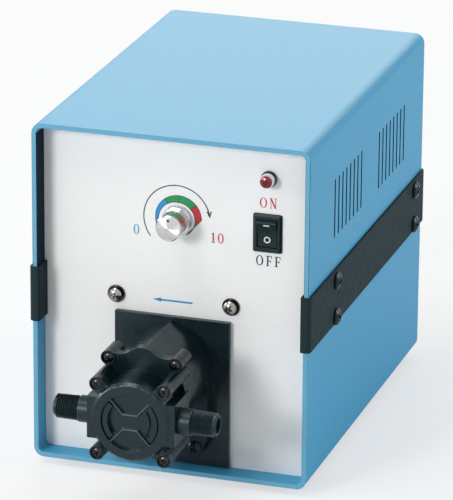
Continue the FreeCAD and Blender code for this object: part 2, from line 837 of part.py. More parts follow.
def feet():
    rubber = []
    screws = []
    for x, y in FOOT_SPOTS:
        spot = (x, y, "0")
        pad_of_foot = doc.addObject("Part::Cone", "foot_cone")
        bind(pad_of_foot, Radius1="foot_radius", Radius2="foot_top_radius", Height="foot_height")
        put(pad_of_foot, spot)
        well = rod("foot_well", "foot_screw_head_radius + screw_clearance", "foot_well_depth", spot)
        hole = rod("foot_hole", "foot_screw_radius + thread_clearance", "foot_height", spot)
        rubber.append(cut("foot", pad_of_foot, [well, hole]))
        screws.append(screw("foot_screw", "foot_screw_radius", "foot_screw_reach", "foot_screw_head_radius",
                            "foot_screw_head_height", (x, y, "foot_well_depth"), "-z"))
    group("rubber_feet", rubber)
    group("foot_screws", screws)
    group("panel_floor_screws", [
        screw("floor_screw", "floor_screw_radius", "cover_sheet + panel_gap + floor_screw_reach",
              "floor_screw_head_radius", "floor_screw_head_height", (x, y, "base_z"), "-z")
        for x, y in FLOOR_SCREWS])


# Controls on the front panel

def speed_dial():
    turned("speed_knob", [
        ("pot_shaft_radius + shaft_fit", "knob_well_depth"), ("knob_well_radius", "knob_well_depth"),
        ("knob_well_radius", "0"), ("knob_skirt_radius", "0"),
        ("knob_skirt_radius", "knob_skirt_height"), ("knob_radius", "knob_skirt_height"),
        ("knob_radius", "knob_skirt_height + knob_height - knob_edge"),
        ("knob_radius - knob_edge", "knob_skirt_height + knob_height"),
        ("0", "knob_skirt_height + knob_height"), ("0", "knob_socket_depth"),
        ("pot_shaft_radius + shaft_fit", "knob_socket_depth"),
    ], ("knob_x", "knob_y", "knob_centre"), "-y")
    bush_top = "inside_y - pot_bush_height"
    spindle = rod("pot_spindle", "pot_shaft_radius", "wiper_y - socket_y - pot_shaft_end",
                  ("knob_x", "socket_y + pot_shaft_end", "knob_centre"), "y")
    wiper = rod("pot_wiper", "pot_wiper_radius", "pot_wiper_height", ("knob_x", "wiper_y", "knob_centre"), "y")
    node("pot_shaft", fuse("pot_shaft", [spindle, wiper]))
    drum = rod("pot_drum", "pot_radius", "pot_depth", ("knob_x", "inside_y", "knob_centre"), "y")
    bush = rod("pot_bush", "pot_bush_radius", "pot_bush_height", ("knob_x", bush_top, "knob_centre"), "y")
    bore = rod("pot_bore", "pot_shaft_radius + shaft_fit", "pot_bush_height + pot_floor",
               ("knob_x", bush_top, "knob_centre"), "y")
    room = rod("pot_room", "pot_wiper_radius + pot_wiper_gap", "pot_wiper_height + 2 * pot_wiper_gap",
               ("knob_x", "inside_y + pot_floor", "knob_centre"), "y")
    node("pot_body", cut("pot_body", fuse("pot_case", [drum, bush]), [bore, room]))
    node("pot_nut", hex_nut("pot_nut", "pot_nut_radius", "pot_bush_radius + thread_clearance",
                            "pot_nut_height", ("knob_x", "panel_y", "knob_centre"), "-y"))


def rocker_switch():
    """The housing snaps into the panel; the rocker rocks in it on two moulded pins."""
    face = "panel_y - bezel_thickness"
    pivot_y = f"{face} + rocker_pivot_depth"
    housing = new_body("switch_body")
    bezel = new_sketch(housing, "XZ_Plane", "-(panel_y)")
    draw_rectangle(bezel, ("switch_x - bezel_width / 2", "switch_x + bezel_width / 2"),
                   ("switch_centre - bezel_height / 2", "switch_centre + bezel_height / 2"))
    pad(housing, bezel, "bezel_thickness")
    chamfer_front(housing, "bezel_edge", face)
    shell = new_sketch(housing, "XZ_Plane", "-(panel_y + switch_body_depth)")
    draw_rectangle(shell, ("switch_x - switch_body_width / 2", "switch_x + switch_body_width / 2"),
                   ("switch_centre - switch_body_height / 2", "switch_centre + switch_body_height / 2"))
    pad(housing, shell, "switch_body_depth")
    for radius, width in (("rocker_radius + rocker_gap", "rocker_width + 2 * rocker_gap"),
                          ("rocker_pin_radius + rocker_pin_fit",
                           "rocker_width + 2 * (rocker_gap + rocker_pin_reach + screw_clearance)")):
        well = new_sketch(housing, "YZ_Plane", "switch_x")
        draw_circle(well, pivot_y, "switch_centre", radius)
        pocket(housing, well, width, both=True)

    rocker = new_body("switch_rocker")
    for radius, width in (("rocker_radius", "rocker_width"),
                          ("rocker_pin_radius", "rocker_width + 2 * (rocker_gap + rocker_pin_reach)")):
        drum = new_sketch(rocker, "YZ_Plane", "switch_x")
        draw_circle(drum, pivot_y, "switch_centre", radius)
        pad(rocker, drum, width, both=True)
    # The lower half of the face stands upright at rest, and the upper half leans out by twice the tilt.
    fold_y = f"{pivot_y} - rocker_face_depth * cos(rocker_tilt)"
    fold_z = "switch_centre - rocker_face_depth * sin(rocker_tilt)"
    reach = "2 * rocker_radius"
    front = new_sketch(rocker, "YZ_Plane", "switch_x")
    draw_outline(front, [
        (f"{fold_y} - {reach}", f"{fold_z} - {reach}"), (fold_y, f"{fold_z} - {reach}"), (fold_y, fold_z),
        (f"{fold_y} - {reach} * tan(2 * rocker_tilt)", f"{fold_z} + {reach}"),
        (f"{fold_y} - {reach}", f"{fold_z} + {reach}"),
    ])
    pocket(rocker, front, "2 * rocker_width", both=True)
    rear = new_sketch(rocker, "YZ_Plane", "switch_x")
    draw_rectangle(rear, (f"{pivot_y} + rocker_rear", f"{pivot_y} + {reach}"),
                   (f"switch_centre - {reach}", f"switch_centre + {reach}"))
    pocket(rocker, rear, "2 * rocker_width", both=True)

    back = "panel_y + switch_body_depth"
    group("switch_blades", [
        box("switch_blade", ("switch_x - blade_width / 2", "switch_x + blade_width / 2"),
            (back, f"{back} + blade_length"),
            (f"switch_centre + {step} * blade_spacing - blade_thickness / 2",
             f"switch_centre + {step} * blade_spacing + blade_thickness / 2"))
        for step in (-1, 0)])


def pilot_lamp():
    spot = ("lamp_x", "panel_y", "lamp_centre")
    bore = "lamp_lens_radius + lamp_lens_fit"
    turned("lamp_bezel", [
        (bore, "-lamp_neck_length"), ("lamp_neck_radius", "-lamp_neck_length"), ("lamp_neck_radius", "0"),
        ("lamp_bezel_radius", "0"), ("lamp_bezel_radius", "lamp_bezel_height / 2"),
        ("lamp_bezel_radius - lamp_bezel_height / 4", "lamp_bezel_height"), (bore, "lamp_bezel_height"),
    ], spot, "-y")
    turned("lamp_lens", [
        ("0", "-lamp_neck_length"), ("lamp_lens_radius", "-lamp_neck_length"),
        ("lamp_lens_radius", "lamp_lens_height - lamp_lens_crown"),
        ("lamp_facet_radius", "lamp_lens_height - lamp_facet_drop"), ("0", "lamp_lens_height"),
    ], spot, "-y")
    node("lamp_nut", hex_nut("lamp_nut", "lamp_nut_radius", "lamp_neck_radius + thread_clearance",
                             "lamp_nut_height", ("lamp_x", "inside_y", "lamp_centre"), "y"))


def panel_fixings():
    """Two screws with spring and flat washers hold the motor bracket against the panel's back."""
    screws = []
    springs = []
    flats = []
    stack = "spring_washer_height + flat_washer_height"
    hole = "panel_screw_radius + thread_clearance"
    for side in (-1, 1):
        x, z = f"pump_x + {side} * panel_screw_spacing / 2", "base_z + panel_screw_z"
        screws.append(screw("panel_screw", "panel_screw_radius", f"{stack} + panel_sheet + bracket_sheet",
                            "panel_head_radius", "panel_head_height", (x, f"panel_y - ({stack})", z), "-y"))
        springs.append(ring("spring_washer", "spring_washer_radius", hole, "spring_washer_height",
                            (x, "panel_y - flat_washer_height", z), "-y"))
        flats.append(ring("flat_washer", "flat_washer_radius", hole, "flat_washer_height",
                          (x, "panel_y", z), "-y"))
    group("panel_screws", screws)
    group("spring_washers", springs)
    group("flat_washers", flats)


# Motor behind the panel

LUG_SPOTS = [(f"pump_x + {side} * lug_spacing / 2", "head_centre - lug_drop") for side in (-1, 1)]
MOTOR_SCREW_SPOTS = [(f"pump_x + {dx} * diagonal", f"drive_z + {dz} * diagonal")
                     for dx in (-1, 1) for dz in (-1, 1)]


def motor_bracket():
    body = new_body("motor_bracket")
    sides = ("pump_x - bracket_half_width", "pump_x + bracket_half_width")
    levels = ("base_z + bracket_low", "base_z + bracket_high")
    face = new_sketch(body, "XZ_Plane", "-(bracket_y)")
    draw_rectangle(face, sides, levels)
    pad(body, face, "bracket_sheet")
    for side, inward in zip(sides, ("+", "-")):
        lip = new_sketch(body, "XZ_Plane", "-(bracket_y)")
        draw_rectangle(lip, (f"{side} {inward} bracket_sheet", side), levels)
        pad(body, lip, "bracket_lip", reverse=True)
    holes = new_sketch(body, "XZ_Plane", "-(bracket_y)")
    draw_circle(holes, "pump_x", "drive_z", "motor_boss_radius + boss_clearance")
    for side in (-1, 1):
        draw_circle(holes, f"pump_x + {side} * panel_screw_spacing / 2", "base_z + panel_screw_z",
                    "panel_screw_radius + thread_clearance")
    for x, z in LUG_SPOTS:
        draw_circle(holes, x, z, "lug_screw_radius + thread_clearance")
    for x, z in MOTOR_SCREW_SPOTS:
        draw_circle(holes, x, z, "motor_screw_radius + screw_clearance")
    pocket(body, holes)
    sinks = new_sketch(body, "XZ_Plane", "-(inside_y)")
    for x, z in MOTOR_SCREW_SPOTS:
        draw_circle(sinks, x, z, "motor_screw_head_radius + screw_clearance")
    pocket(body, sinks, "motor_screw_head_height")


def motor():
    group("motor_screws", [
        screw("motor_screw", "motor_screw_radius",
              "bracket_sheet - motor_screw_head_height + motor_cap_thickness",
              "motor_screw_head_radius", "motor_screw_head_height",
              (x, "inside_y + motor_screw_head_height", z), "-y") for x, z in MOTOR_SCREW_SPOTS])
    can_bore = "motor_radius - motor_wall"
    can_start, can_length = "bracket_y + motor_cap_thickness", "motor_length - 2 * motor_cap_thickness"
    can_spot = ("pump_x", can_start, "drive_z")
    node("motor_can", ring("motor_can", "motor_radius", can_bore, can_length, can_spot, "y"))

    seat = "bearing_radius"
    hub = "motor_boss_radius"
    clear = "motor_shaft_radius + boss_clearance"
    turned_cap = [
        (clear, "-motor_boss_height"), (hub, "-motor_boss_height"), (hub, "0"), ("motor_radius", "0"),
        ("motor_radius", "motor_cap_thickness"), (seat, "motor_cap_thickness"),
        (seat, "motor_cap_thickness - bearing_length"), (clear, "motor_cap_thickness - bearing_length"),
    ]
    front_cap = turned("motor_front_cap", turned_cap, ("pump_x", "bracket_y", "drive_z"), "y")
    holes = new_sketch(front_cap, "XY_Plane")
    for dx in (-1, 1):
        for dz in (-1, 1):
            draw_circle(holes, f"{dx} * diagonal", f"{dz} * diagonal", "motor_screw_radius + thread_clearance")
    pocket(front_cap, holes)
    turned("motor_rear_cap", [
        (seat, "0"), (seat, "bearing_length"), ("0", "bearing_length"), ("0", "motor_cap_thickness + rear_hub"),
        (hub, "motor_cap_thickness + rear_hub"), (hub, "motor_cap_thickness"),
        ("motor_radius", "motor_cap_thickness"), ("motor_radius", "0"),
    ], ("pump_x", "motor_end - motor_cap_thickness", "drive_z"), "y")
    bore = "motor_shaft_radius + shaft_fit"
    front_bearing = ring("front_bearing", seat, bore, "bearing_length",
                         ("pump_x", "bracket_y + motor_cap_thickness - bearing_length", "drive_z"), "y")
    rear_bearing = ring("rear_bearing", seat, bore, "bearing_length",
                        ("pump_x", "motor_end - motor_cap_thickness", "drive_z"), "y")
    group("motor_bearings", [front_bearing, rear_bearing])

    group("motor_magnets", [
        sector("magnet_segment", can_bore, f"{can_bore} - magnet_thickness", "armature_length",
               "magnet_half_angle", ("pump_x", "armature_y", "drive_z"), turn) for turn in (0, 180)])
    shaft_end = "motor_end - motor_cap_thickness + bearing_length"
    node("motor_shaft", rod("motor_shaft", "motor_shaft_radius", f"{shaft_end} - outer_floor_y",
                            ("pump_x", "outer_floor_y", "drive_z"), "y"))
    armature = new_body("motor_armature")
    disc = new_sketch(armature, "XY_Plane")
    draw_circle(disc, "0", "0", "armature_radius")
    draw_circle(disc, "0", "0", "motor_shaft_radius")
    pad(armature, disc, "armature_length")
    bars = new_sketch(armature, "XY_Plane", "armature_length")
    draw_circle(bars, "0", "0", "commutator_radius")
    draw_circle(bars, "0", "0", "motor_shaft_radius")
    pad(armature, bars, "commutator_length")
    slot = new_sketch(armature, "XY_Plane")
    draw_rectangle(slot, ("-armature_slot_width / 2", "armature_slot_width / 2"),
                   ("armature_radius - armature_slot_depth", "armature_radius + armature_slot_width"))
    slots = pocket(armature, slot, "armature_length", reverse=True)
    pattern = armature.newObject("PartDesign::PolarPattern", "armature_pattern")
    pattern.Originals = [slots]
    pattern.Axis = (slot, ["N_Axis"])
    pattern.Angle = 360
    bind(pattern, Occurrences="armature_slots")
    armature.Tip = pattern
    put(armature, ("pump_x", "armature_y", "drive_z"), "y")
    commutator_y = "armature_y + armature_length"
    brushes = []
    for side in (-1, 1):
        near = f"pump_x + {side} * (commutator_radius + brush_gap)"
        far = f"pump_x + {side} * ({can_bore} - brush_gap)"
        brushes.append(box("motor_brush", (near, far) if side > 0 else (far, near),
                           (commutator_y, "motor_end - motor_cap_thickness"),
                           ("drive_z - brush_width / 2", "drive_z + brush_width / 2")))
    group("motor_brushes", brushes)


# Pump plate and coupling housing

def pump_plate():
    body = new_body("pump_plate")
    face = new_sketch(body, "XZ_Plane", "-(panel_y)")
    draw_rectangle(face, ("pump_x - plate_half_width", "pump_x + plate_half_width"),
                   ("base_z + plate_low", "base_z + plate_high"))
    draw_circle(face, "pump_x", "drive_z", "motor_boss_radius + boss_clearance")
    for x, z in LUG_SPOTS:
        draw_circle(face, x, z, "lug_screw_radius + screw_clearance")
    pad(body, face, "plate_sheet")


EAR_SPOTS = [(f"pump_x + {dx} * ear_spacing_x / 2", f"head_centre + {dz} * ear_spacing_z / 2")
             for dx in (-1, 1) for dz in (-1, 1)]
TOP_EARS = [(f"pump_x + {side} * ear_spacing_x / 2", "base_z + top_ear_z") for side in (-1, 1)]


def columns(name, spots, radius, front, rear):
    """Round columns along Y at each spot."""
    return [rod(name, radius, f"({rear}) - ({front})", (x, front, z), "y") for x, z in spots]


def slab(name, half_width, low, high, front, rear):
    return box(name, (f"pump_x - ({half_width})", f"pump_x + {half_width}"), (front, rear), (low, high))


def head_outline(name, front, rear):
    """The common outline of the head: a disc, a block for the ports and webs out to four screw ears."""
    length = f"({rear}) - ({front})"
    pieces = [rod(name + "_disc", "disc_radius", length, ("pump_x", front, "head_centre"), "y")]
    pieces += columns(name + "_ear", EAR_SPOTS, "ear_radius", front, rear)
    pieces.append(slab(name + "_block", "block_half_width", "head_centre - block_half_height",
                       "head_centre + block_half_height", front, rear))
    for slope in ("1", "-1"):
        pieces.append(extruded(name + "_web", web_corners(slope), front, rear))
    return pieces


def web_corners(slope):
    """A straight bar across the disc, from one screw ear to the opposite one."""
    along_x, along_z = "ear_spacing_x / 2", f"{slope} * ear_spacing_z / 2"
    aside_x, aside_z = f"web_half * {along_z} / ear_reach", f"web_half * {along_x} / ear_reach"
    return [(f"pump_x + {end} * {along_x} + {side} * {aside_x}",
             f"head_centre + {end} * {along_z} - {side} * {aside_z}")
            for end, side in ((1, -1), (-1, -1), (-1, 1), (1, 1))]


def extruded(name, corners, front, rear):
    """A flat shape drawn in X and Z and drawn out along Y."""
    sketch = doc.addObject("Sketcher::SketchObject", name + "_sketch")
    draw_outline(sketch, corners)
    put(sketch, ("0", rear, "0"), "-y")
    solid = doc.addObject("Part::Extrusion", name)
    solid.Base = sketch
    solid.DirMode = "Normal"
    solid.Solid = True
    bind(solid, LengthFwd=f"({rear}) - ({front})")
    return solid


def wavy_top(name, front, rear):
    """The flange above the disc: its top rises to a crest between two screw ears."""
    ear_x, ear_top = "ear_spacing_x / 2", "base_z + top_ear_z + ear_radius"
    shoulder = "base_z + shoulder_z"
    neck = extruded(name + "_neck", [
        ("pump_x - neck_half", "head_centre"), ("pump_x + neck_half", "head_centre"),
        ("pump_x + neck_half", "base_z + top_ear_z"), (f"pump_x + {ear_x}", ear_top, "dip_drop"),
        ("pump_x + shoulder_half", shoulder, "-crest_rise"), ("pump_x - shoulder_half", shoulder, "dip_drop"),
        (f"pump_x - {ear_x}", ear_top), ("pump_x - neck_half", "base_z + top_ear_z"),
    ], front, rear)
    return [neck] + columns(name + "_ear", TOP_EARS, "ear_radius", front, rear)


def gable_corners():
    """A low ridge along the barrel's top, whose slopes run almost tangent into it."""
    touch = "(barrel_radius - gable_sink)"
    slant = f"{touch} * sqrt(1 - ({touch} / gable_height) ^ 2)"
    foot = f"drive_z + {touch} ^ 2 / gable_height"
    return [(f"pump_x - {slant}", foot), (f"pump_x + {slant}", foot), ("pump_x", "drive_z + gable_height")]


def coupling_housing():
    """A barrel round the magnet coupling, with a flange, screw columns, a top ridge and two foot lugs."""
    flange_rear = "seat_y + housing_sheet"
    solid = head_outline("housing_flange", "seat_y", flange_rear)
    solid += wavy_top("housing_top", "seat_y", flange_rear)
    solid += columns("ear_column", EAR_SPOTS, "ear_radius", "seat_y", "front_y - ear_boss_rear")
    solid += columns("top_column", TOP_EARS, "ear_radius", "seat_y", "front_y - top_ear_boss_rear")
    solid.append(rod("barrel", "barrel_radius", "plate_y - seat_y", ("pump_x", "seat_y", "drive_z"), "y"))
    solid.append(extruded("barrel_gable", gable_corners(), "seat_y", "plate_y"))
    lug_front, lug_z, web_top = "plate_y - lug_height", "head_centre - lug_drop", "drive_z - lug_web_drop"
    solid += columns("lug", LUG_SPOTS, "lug_radius", lug_front, "plate_y")
    for side in (-1, 1):
        x, edge = f"pump_x + {side} * lug_spacing / 2", f"pump_x + {side} * lug_web_half"
        solid.append(extruded("lug_web", [
            (f"{x} - {side} * (lug_radius - lug_web_inset)", lug_z),
            (f"{x} + {side} * (lug_radius - lug_web_inset)", lug_z),
            (edge, "base_z + lug_web_low"), (edge, web_top), ("pump_x", web_top),
        ][::side], lug_front, "plate_y"))
    tools = [rod("barrel_bore", "barrel_bore", "plate_y - seat_y", ("pump_x", "seat_y", "drive_z"), "y")]
    tools += columns("tapped_ear", EAR_SPOTS, "cap_screw_radius + thread_clearance", "seat_y", "ear_screw_end")
    tools += columns("tapped_top", TOP_EARS, "cap_screw_radius + thread_clearance", "seat_y", "top_screw_end")
    tools += columns("lug_hole", LUG_SPOTS, "lug_screw_radius + screw_clearance", lug_front, "plate_y")
    node("coupling_housing", cut("coupling_housing", fuse("housing_shape", solid), tools, refine=False))
    group("housing_screws", [
        screw("housing_screw", "lug_screw_radius", "lug_height + plate_sheet + panel_sheet + bracket_sheet",
              "lug_head_radius", "lug_head_height", (x, lug_front, z), "-y") for x, z in LUG_SPOTS])


GEAR_SPOTS = [("pump_x", "drive_z"), ("pump_x", "driven_z")]


def pump_body():
    """The gear chamber, its two ports' seats and the flange that closes the magnet can."""
    solid = head_outline("body", "cover_y", "seat_y")
    solid += wavy_top("body_top", "flange_y", "seat_y")
    solid += columns("top_ear_rim", TOP_EARS, "ear_radius", "flange_y - ear_rim_height", "flange_y")
    tools = columns("gear_chamber", GEAR_SPOTS, "gear_tip + gear_tip_gap", "cover_y", "chamber_end")
    tools += columns("rear_bush_seat", GEAR_SPOTS, "bush_radius", "cover_y", "chamber_end + bush_length")
    tools.append(rod("shaft_way", "shaft_radius + boss_clearance", "seat_y - chamber_end",
                     ("pump_x", "chamber_end", "drive_z"), "y"))
    tools.append(rod("can_recess", "can_flange_radius + screw_clearance", "can_flange_sheet",
                     ("pump_x", "can_start", "drive_z"), "y"))
    tools += columns("body_ear_hole", EAR_SPOTS, "cap_screw_radius + screw_clearance", "cover_y", "seat_y")
    tools += columns("body_top_hole", TOP_EARS, "cap_screw_radius + screw_clearance", "flange_y", "seat_y")
    tools += columns("top_ear_well", TOP_EARS, "cap_head_radius + screw_clearance",
                     "flange_y - ear_rim_height", "flange_y")
    tools.append(ring("seal_groove", "seal_radius + seal_section / 2", "seal_radius - seal_section / 2",
                      "seal_section", ("pump_x", "cover_y", "head_centre"), "y"))
    for side, outward in ((-1, "-x"), (1, "x")):
        face = f"pump_x + {side} * (block_half_width - port_spigot_length)"
        tools.append(rod("spigot_seat", "port_spigot_radius", "port_spigot_length",
                         (face, "port_y", "head_centre"), outward))
        tools.append(rod("passage", "passage_radius", "block_half_width",
                         ("pump_x", "port_y", "head_centre"), outward))
    node("pump_body", cut("pump_body", fuse("body_shape", solid), tools, refine=False))


def port(name, outward, side):
    """A nipple bonded into the block: a spigot, a round neck and the stretch that carries the pipe thread."""
    neck_end = "port_reach - block_half_width - port_thread_length"
    end = "port_reach - block_half_width"
    turned(name, [
        ("port_bore_radius", "-port_spigot_length"), ("port_spigot_radius", "-port_spigot_length"),
        ("port_spigot_radius", "0"), ("port_neck_radius", "0"), ("port_neck_radius", neck_end),
        ("port_thread_radius", neck_end), ("port_thread_radius", f"{end} - port_chamfer"),
        ("port_thread_radius - port_chamfer", end), ("port_bore_radius", end),
    ], (f"pump_x + {side} * block_half_width", "port_y", "head_centre"), outward)


def gear_outline(teeth, module, tip_radius, backlash, turn):
    """An involute gear's wire about Z: flanks by formula, arcs at the tips and the roots."""
    pitch_radius = teeth * module / 2
    pressure = math.radians(number("gear_pressure_angle"))
    base_radius = pitch_radius * math.cos(pressure)
    root_radius = pitch_radius - number("gear_dedendum") * module
    start_radius = max(base_radius, root_radius)

    def involute(radius):
        angle = math.acos(min(1.0, base_radius / radius))
        return math.tan(angle) - angle

    half_pitch_tooth = math.pi / (2 * teeth) - backlash / (2 * pitch_radius)

    def half_tooth(radius):
        return half_pitch_tooth + involute(pitch_radius) - involute(radius)

    def at(radius, angle):
        return Vector(radius * math.cos(angle), radius * math.sin(angle), 0)

    steps = int(number("gear_flank_steps"))
    radii = [start_radius + (tip_radius - start_radius) * step / steps for step in range(steps + 1)]
    pitch = 2 * math.pi / teeth
    edges = []
    for tooth in range(teeth):
        middle = turn + tooth * pitch
        rising = [at(radius, middle - half_tooth(radius)) for radius in radii]
        falling = [at(radius, middle + half_tooth(radius)) for radius in reversed(radii)]
        root_angle = half_tooth(start_radius)
        root_in = at(root_radius, middle - root_angle)
        root_out = at(root_radius, middle + root_angle)
        next_in = at(root_radius, middle + pitch - root_angle)
        for points in (rising, falling):
            curve = Part.BSplineCurve()
            curve.interpolate(points)
            if points is rising and start_radius > root_radius:
                edges.append(Part.makeLine(root_in, rising[0]))
            edges.append(curve.toShape())
            if points is rising:
                edges.append(Part.Arc(rising[-1], at(tip_radius, middle), falling[0]).toShape())
        if start_radius > root_radius:
            edges.append(Part.makeLine(falling[-1], root_out))
        edges.append(Part.Arc(root_out, at(root_radius, middle + pitch / 2), next_in).toShape())
    return Part.Wire(edges)


def gear(name, centre_z, turn):
    """A spur gear along Y; the two of the pair are in mesh, so one stands half a tooth on."""
    wire = gear_outline(int(number("gear_teeth")), number("gear_module"), number("gear_tip"),
                        number("gear_backlash"), turn)
    solid = Part.Face(wire).extrude(Vector(0, 0, number("gear_width")))
    bore = Part.makeCylinder(number("shaft_radius"), number("gear_width"))
    feature = doc.addObject("Part::Feature", name)
    feature.Shape = solid.cut(bore)
    node(name, put(feature, ("pump_x", "gear_start", centre_z), "y"))


def head_internals():
    quarter = math.pi / 2
    half_tooth_turn = math.pi / number("gear_teeth")
    gear("drive_gear", "drive_z", quarter)
    gear("driven_gear", "driven_z", quarter + half_tooth_turn)
    shaft_front = "cover_y - bush_length"
    node("drive_shaft", rod("drive_shaft", "shaft_radius", f"magnet_end - ({shaft_front})",
                            ("pump_x", shaft_front, "drive_z"), "y"))
    node("driven_shaft", rod("driven_shaft", "shaft_radius", f"chamber_end + bush_length - ({shaft_front})",
                             ("pump_x", shaft_front, "driven_z"), "y"))
    bushes = []
    for x, z in GEAR_SPOTS:
        for y in (shaft_front, "chamber_end"):
            bushes.append(ring("shaft_bush", "bush_radius", "shaft_radius + shaft_fit", "bush_length",
                               (x, y, z), "y"))
    group("shaft_bushes", bushes)
    node("inner_magnet", ring("inner_magnet", "inner_magnet_radius", "shaft_radius", "inner_magnet_length",
                              ("pump_x", "magnet_start", "drive_z"), "y"))
    turned("magnet_can", [
        ("can_inner", "0"), ("can_flange_radius", "0"), ("can_flange_radius", "can_flange_sheet"),
        ("can_outer", "can_flange_sheet"), ("can_outer", "can_end - can_start"), ("0", "can_end - can_start"),
        ("0", "can_end - can_start - can_wall"), ("can_inner", "can_end - can_start - can_wall"),
    ], ("pump_x", "can_start", "drive_z"), "y")
    turned("outer_magnet", [
        ("outer_inner", "magnet_start - outer_end"), ("outer_outer", "magnet_start - outer_end"),
        ("outer_outer", "0"), ("motor_shaft_radius", "0"), ("motor_shaft_radius", "-outer_magnet_floor"),
        ("outer_inner", "-outer_magnet_floor"),
    ], ("pump_x", "outer_end", "drive_z"), "y")
    seal = doc.addObject("Part::Torus", "cover_seal")
    bind(seal, Radius1="seal_radius", Radius2="seal_section / 2")
    node("cover_seal", put(seal, ("pump_x", "cover_y + seal_section / 2", "head_centre"), "y"))


def front_cover():
    """The moulded front of the head: a chamfered disc, a dished middle with ribs, and four screw ears."""
    solid = head_outline("cover", "ear_y", "cover_y")
    solid += columns("ear_rim", EAR_SPOTS, "ear_radius", "ear_y - ear_rim_height", "ear_y")
    rim = doc.addObject("Part::Cone", "cover_rim")
    bind(rim, Radius1="disc_radius", Radius2="disc_radius - disc_chamfer", Height="disc_rise")
    solid.append(put(rim, ("pump_x", "ear_y", "head_centre"), "-y"))
    dish_spot = ("pump_x", "disc_y", "head_centre")
    tools = [rod("cover_dish", "dish_radius", "dish_depth", dish_spot, "y")]
    tools += columns("front_bush_seat", GEAR_SPOTS, "bush_radius", "cover_y - bush_length", "cover_y")
    tools += columns("cover_ear_hole", EAR_SPOTS, "cap_screw_radius + screw_clearance", "ear_y", "cover_y")
    tools += columns("ear_well", EAR_SPOTS, "cap_head_radius + screw_clearance",
                     "ear_y - ear_rim_height", "ear_y")
    floor = ("pump_x", "disc_y + dish_depth", "head_centre")
    for turn in (0, 180):
        tools.append(sector("crescent", "arc_inner", "crescent_inner", "crescent_depth",
                            "crescent_half_angle", floor, turn))
        tools.append(sector("rim_groove", "dish_radius", "arc_outer", "groove_depth",
                            "arc_half_angle", floor, turn))
    shell = cut("cover_shell", fuse("cover_shape", solid), tools)
    ribs = []
    for up in (-1, 1):
        for across in (-1, 1):
            inner = (f"pump_x + {across} * rib_inner", f"head_centre + {up} * rib_inner_height")
            outer = (f"pump_x + {across} * rib_outer", f"head_centre + {up} * rib_outer_height")
            ribs.append(extruded("slanted_rib", [
                inner, outer, (f"{outer[0]} + {across} * rib_width", outer[1]),
                (f"{inner[0]} + {across} * rib_width", inner[1]),
            ][::across * up], "disc_y + rib_drop", "disc_y + dish_depth"))
        levels = [f"head_centre + {up} * rib_inner_height",
                  f"head_centre + {up} * (rib_inner_height - rib_width)"]
        low, high = levels[::-up]
        ribs.append(slab("level_rib", "rib_inner + rib_width", low, high,
                         "disc_y + rib_drop", "disc_y + dish_depth"))
    ribs += [sector("arc_rib", "arc_outer", "arc_inner", "dish_depth - rib_drop", "arc_half_angle",
                    ("pump_x", "disc_y + rib_drop", "head_centre"), turn) for turn in (0, 180)]
    node("front_cover", fuse("front_cover", [shell] + ribs))
    group("cover_screws", [
        screw("cover_screw", "cap_screw_radius", "ear_screw_end - ear_y", "cap_head_radius",
              "cap_head_height", (x, "ear_y", z), "-y") for x, z in EAR_SPOTS])
    group("flange_screws", [
        screw("flange_screw", "cap_screw_radius", "top_screw_end - flange_y", "cap_head_radius",
              "cap_head_height", (x, "flange_y", z), "-y") for x, z in TOP_EARS])


# Power parts inside the case and at its rear

def transformer():
    x, y = "transformer_x", "front_y + transformer_ahead"
    half = "transformer_width / 2"
    core = box("core_block", (f"{x} - {half}", f"{x} + {half}"),
               (f"{y} - transformer_depth / 2", f"{y} + transformer_depth / 2"),
               ("floor_z", "floor_z + transformer_height"))
    windows = [box("core_window", (f"{x} + {low}", f"{x} + {high}"),
                   (f"{y} - transformer_depth / 2", f"{y} + transformer_depth / 2"),
                   ("floor_z + core_yoke", "floor_z + transformer_height - core_yoke"))
               for low, high in (("(-coil_width / 2)", "(-core_leg / 2)"),
                                 ("core_leg / 2", "coil_width / 2"))]
    node("transformer_core", cut("transformer_core", core, windows))
    coil = box("coil_block", (f"{x} - coil_width / 2", f"{x} + coil_width / 2"),
               (f"{y} - coil_depth / 2", f"{y} + coil_depth / 2"),
               ("floor_z + core_yoke", "floor_z + transformer_height - core_yoke"))
    leg = box("coil_leg", (f"{x} - core_leg / 2", f"{x} + core_leg / 2"),
              (f"{y} - transformer_depth / 2", f"{y} + transformer_depth / 2"),
              ("floor_z + core_yoke", "floor_z + transformer_height - core_yoke"))
    yokes = [box("coil_yoke", (f"{x} - coil_width / 2", f"{x} + coil_width / 2"),
                 (f"{y} - transformer_depth / 2", f"{y} + transformer_depth / 2"), levels)
             for levels in (("floor_z", "floor_z + core_yoke"),
                            ("floor_z + transformer_height - core_yoke", "floor_z + transformer_height"))]
    node("transformer_coil", cut("transformer_coil", coil, [leg] + yokes))


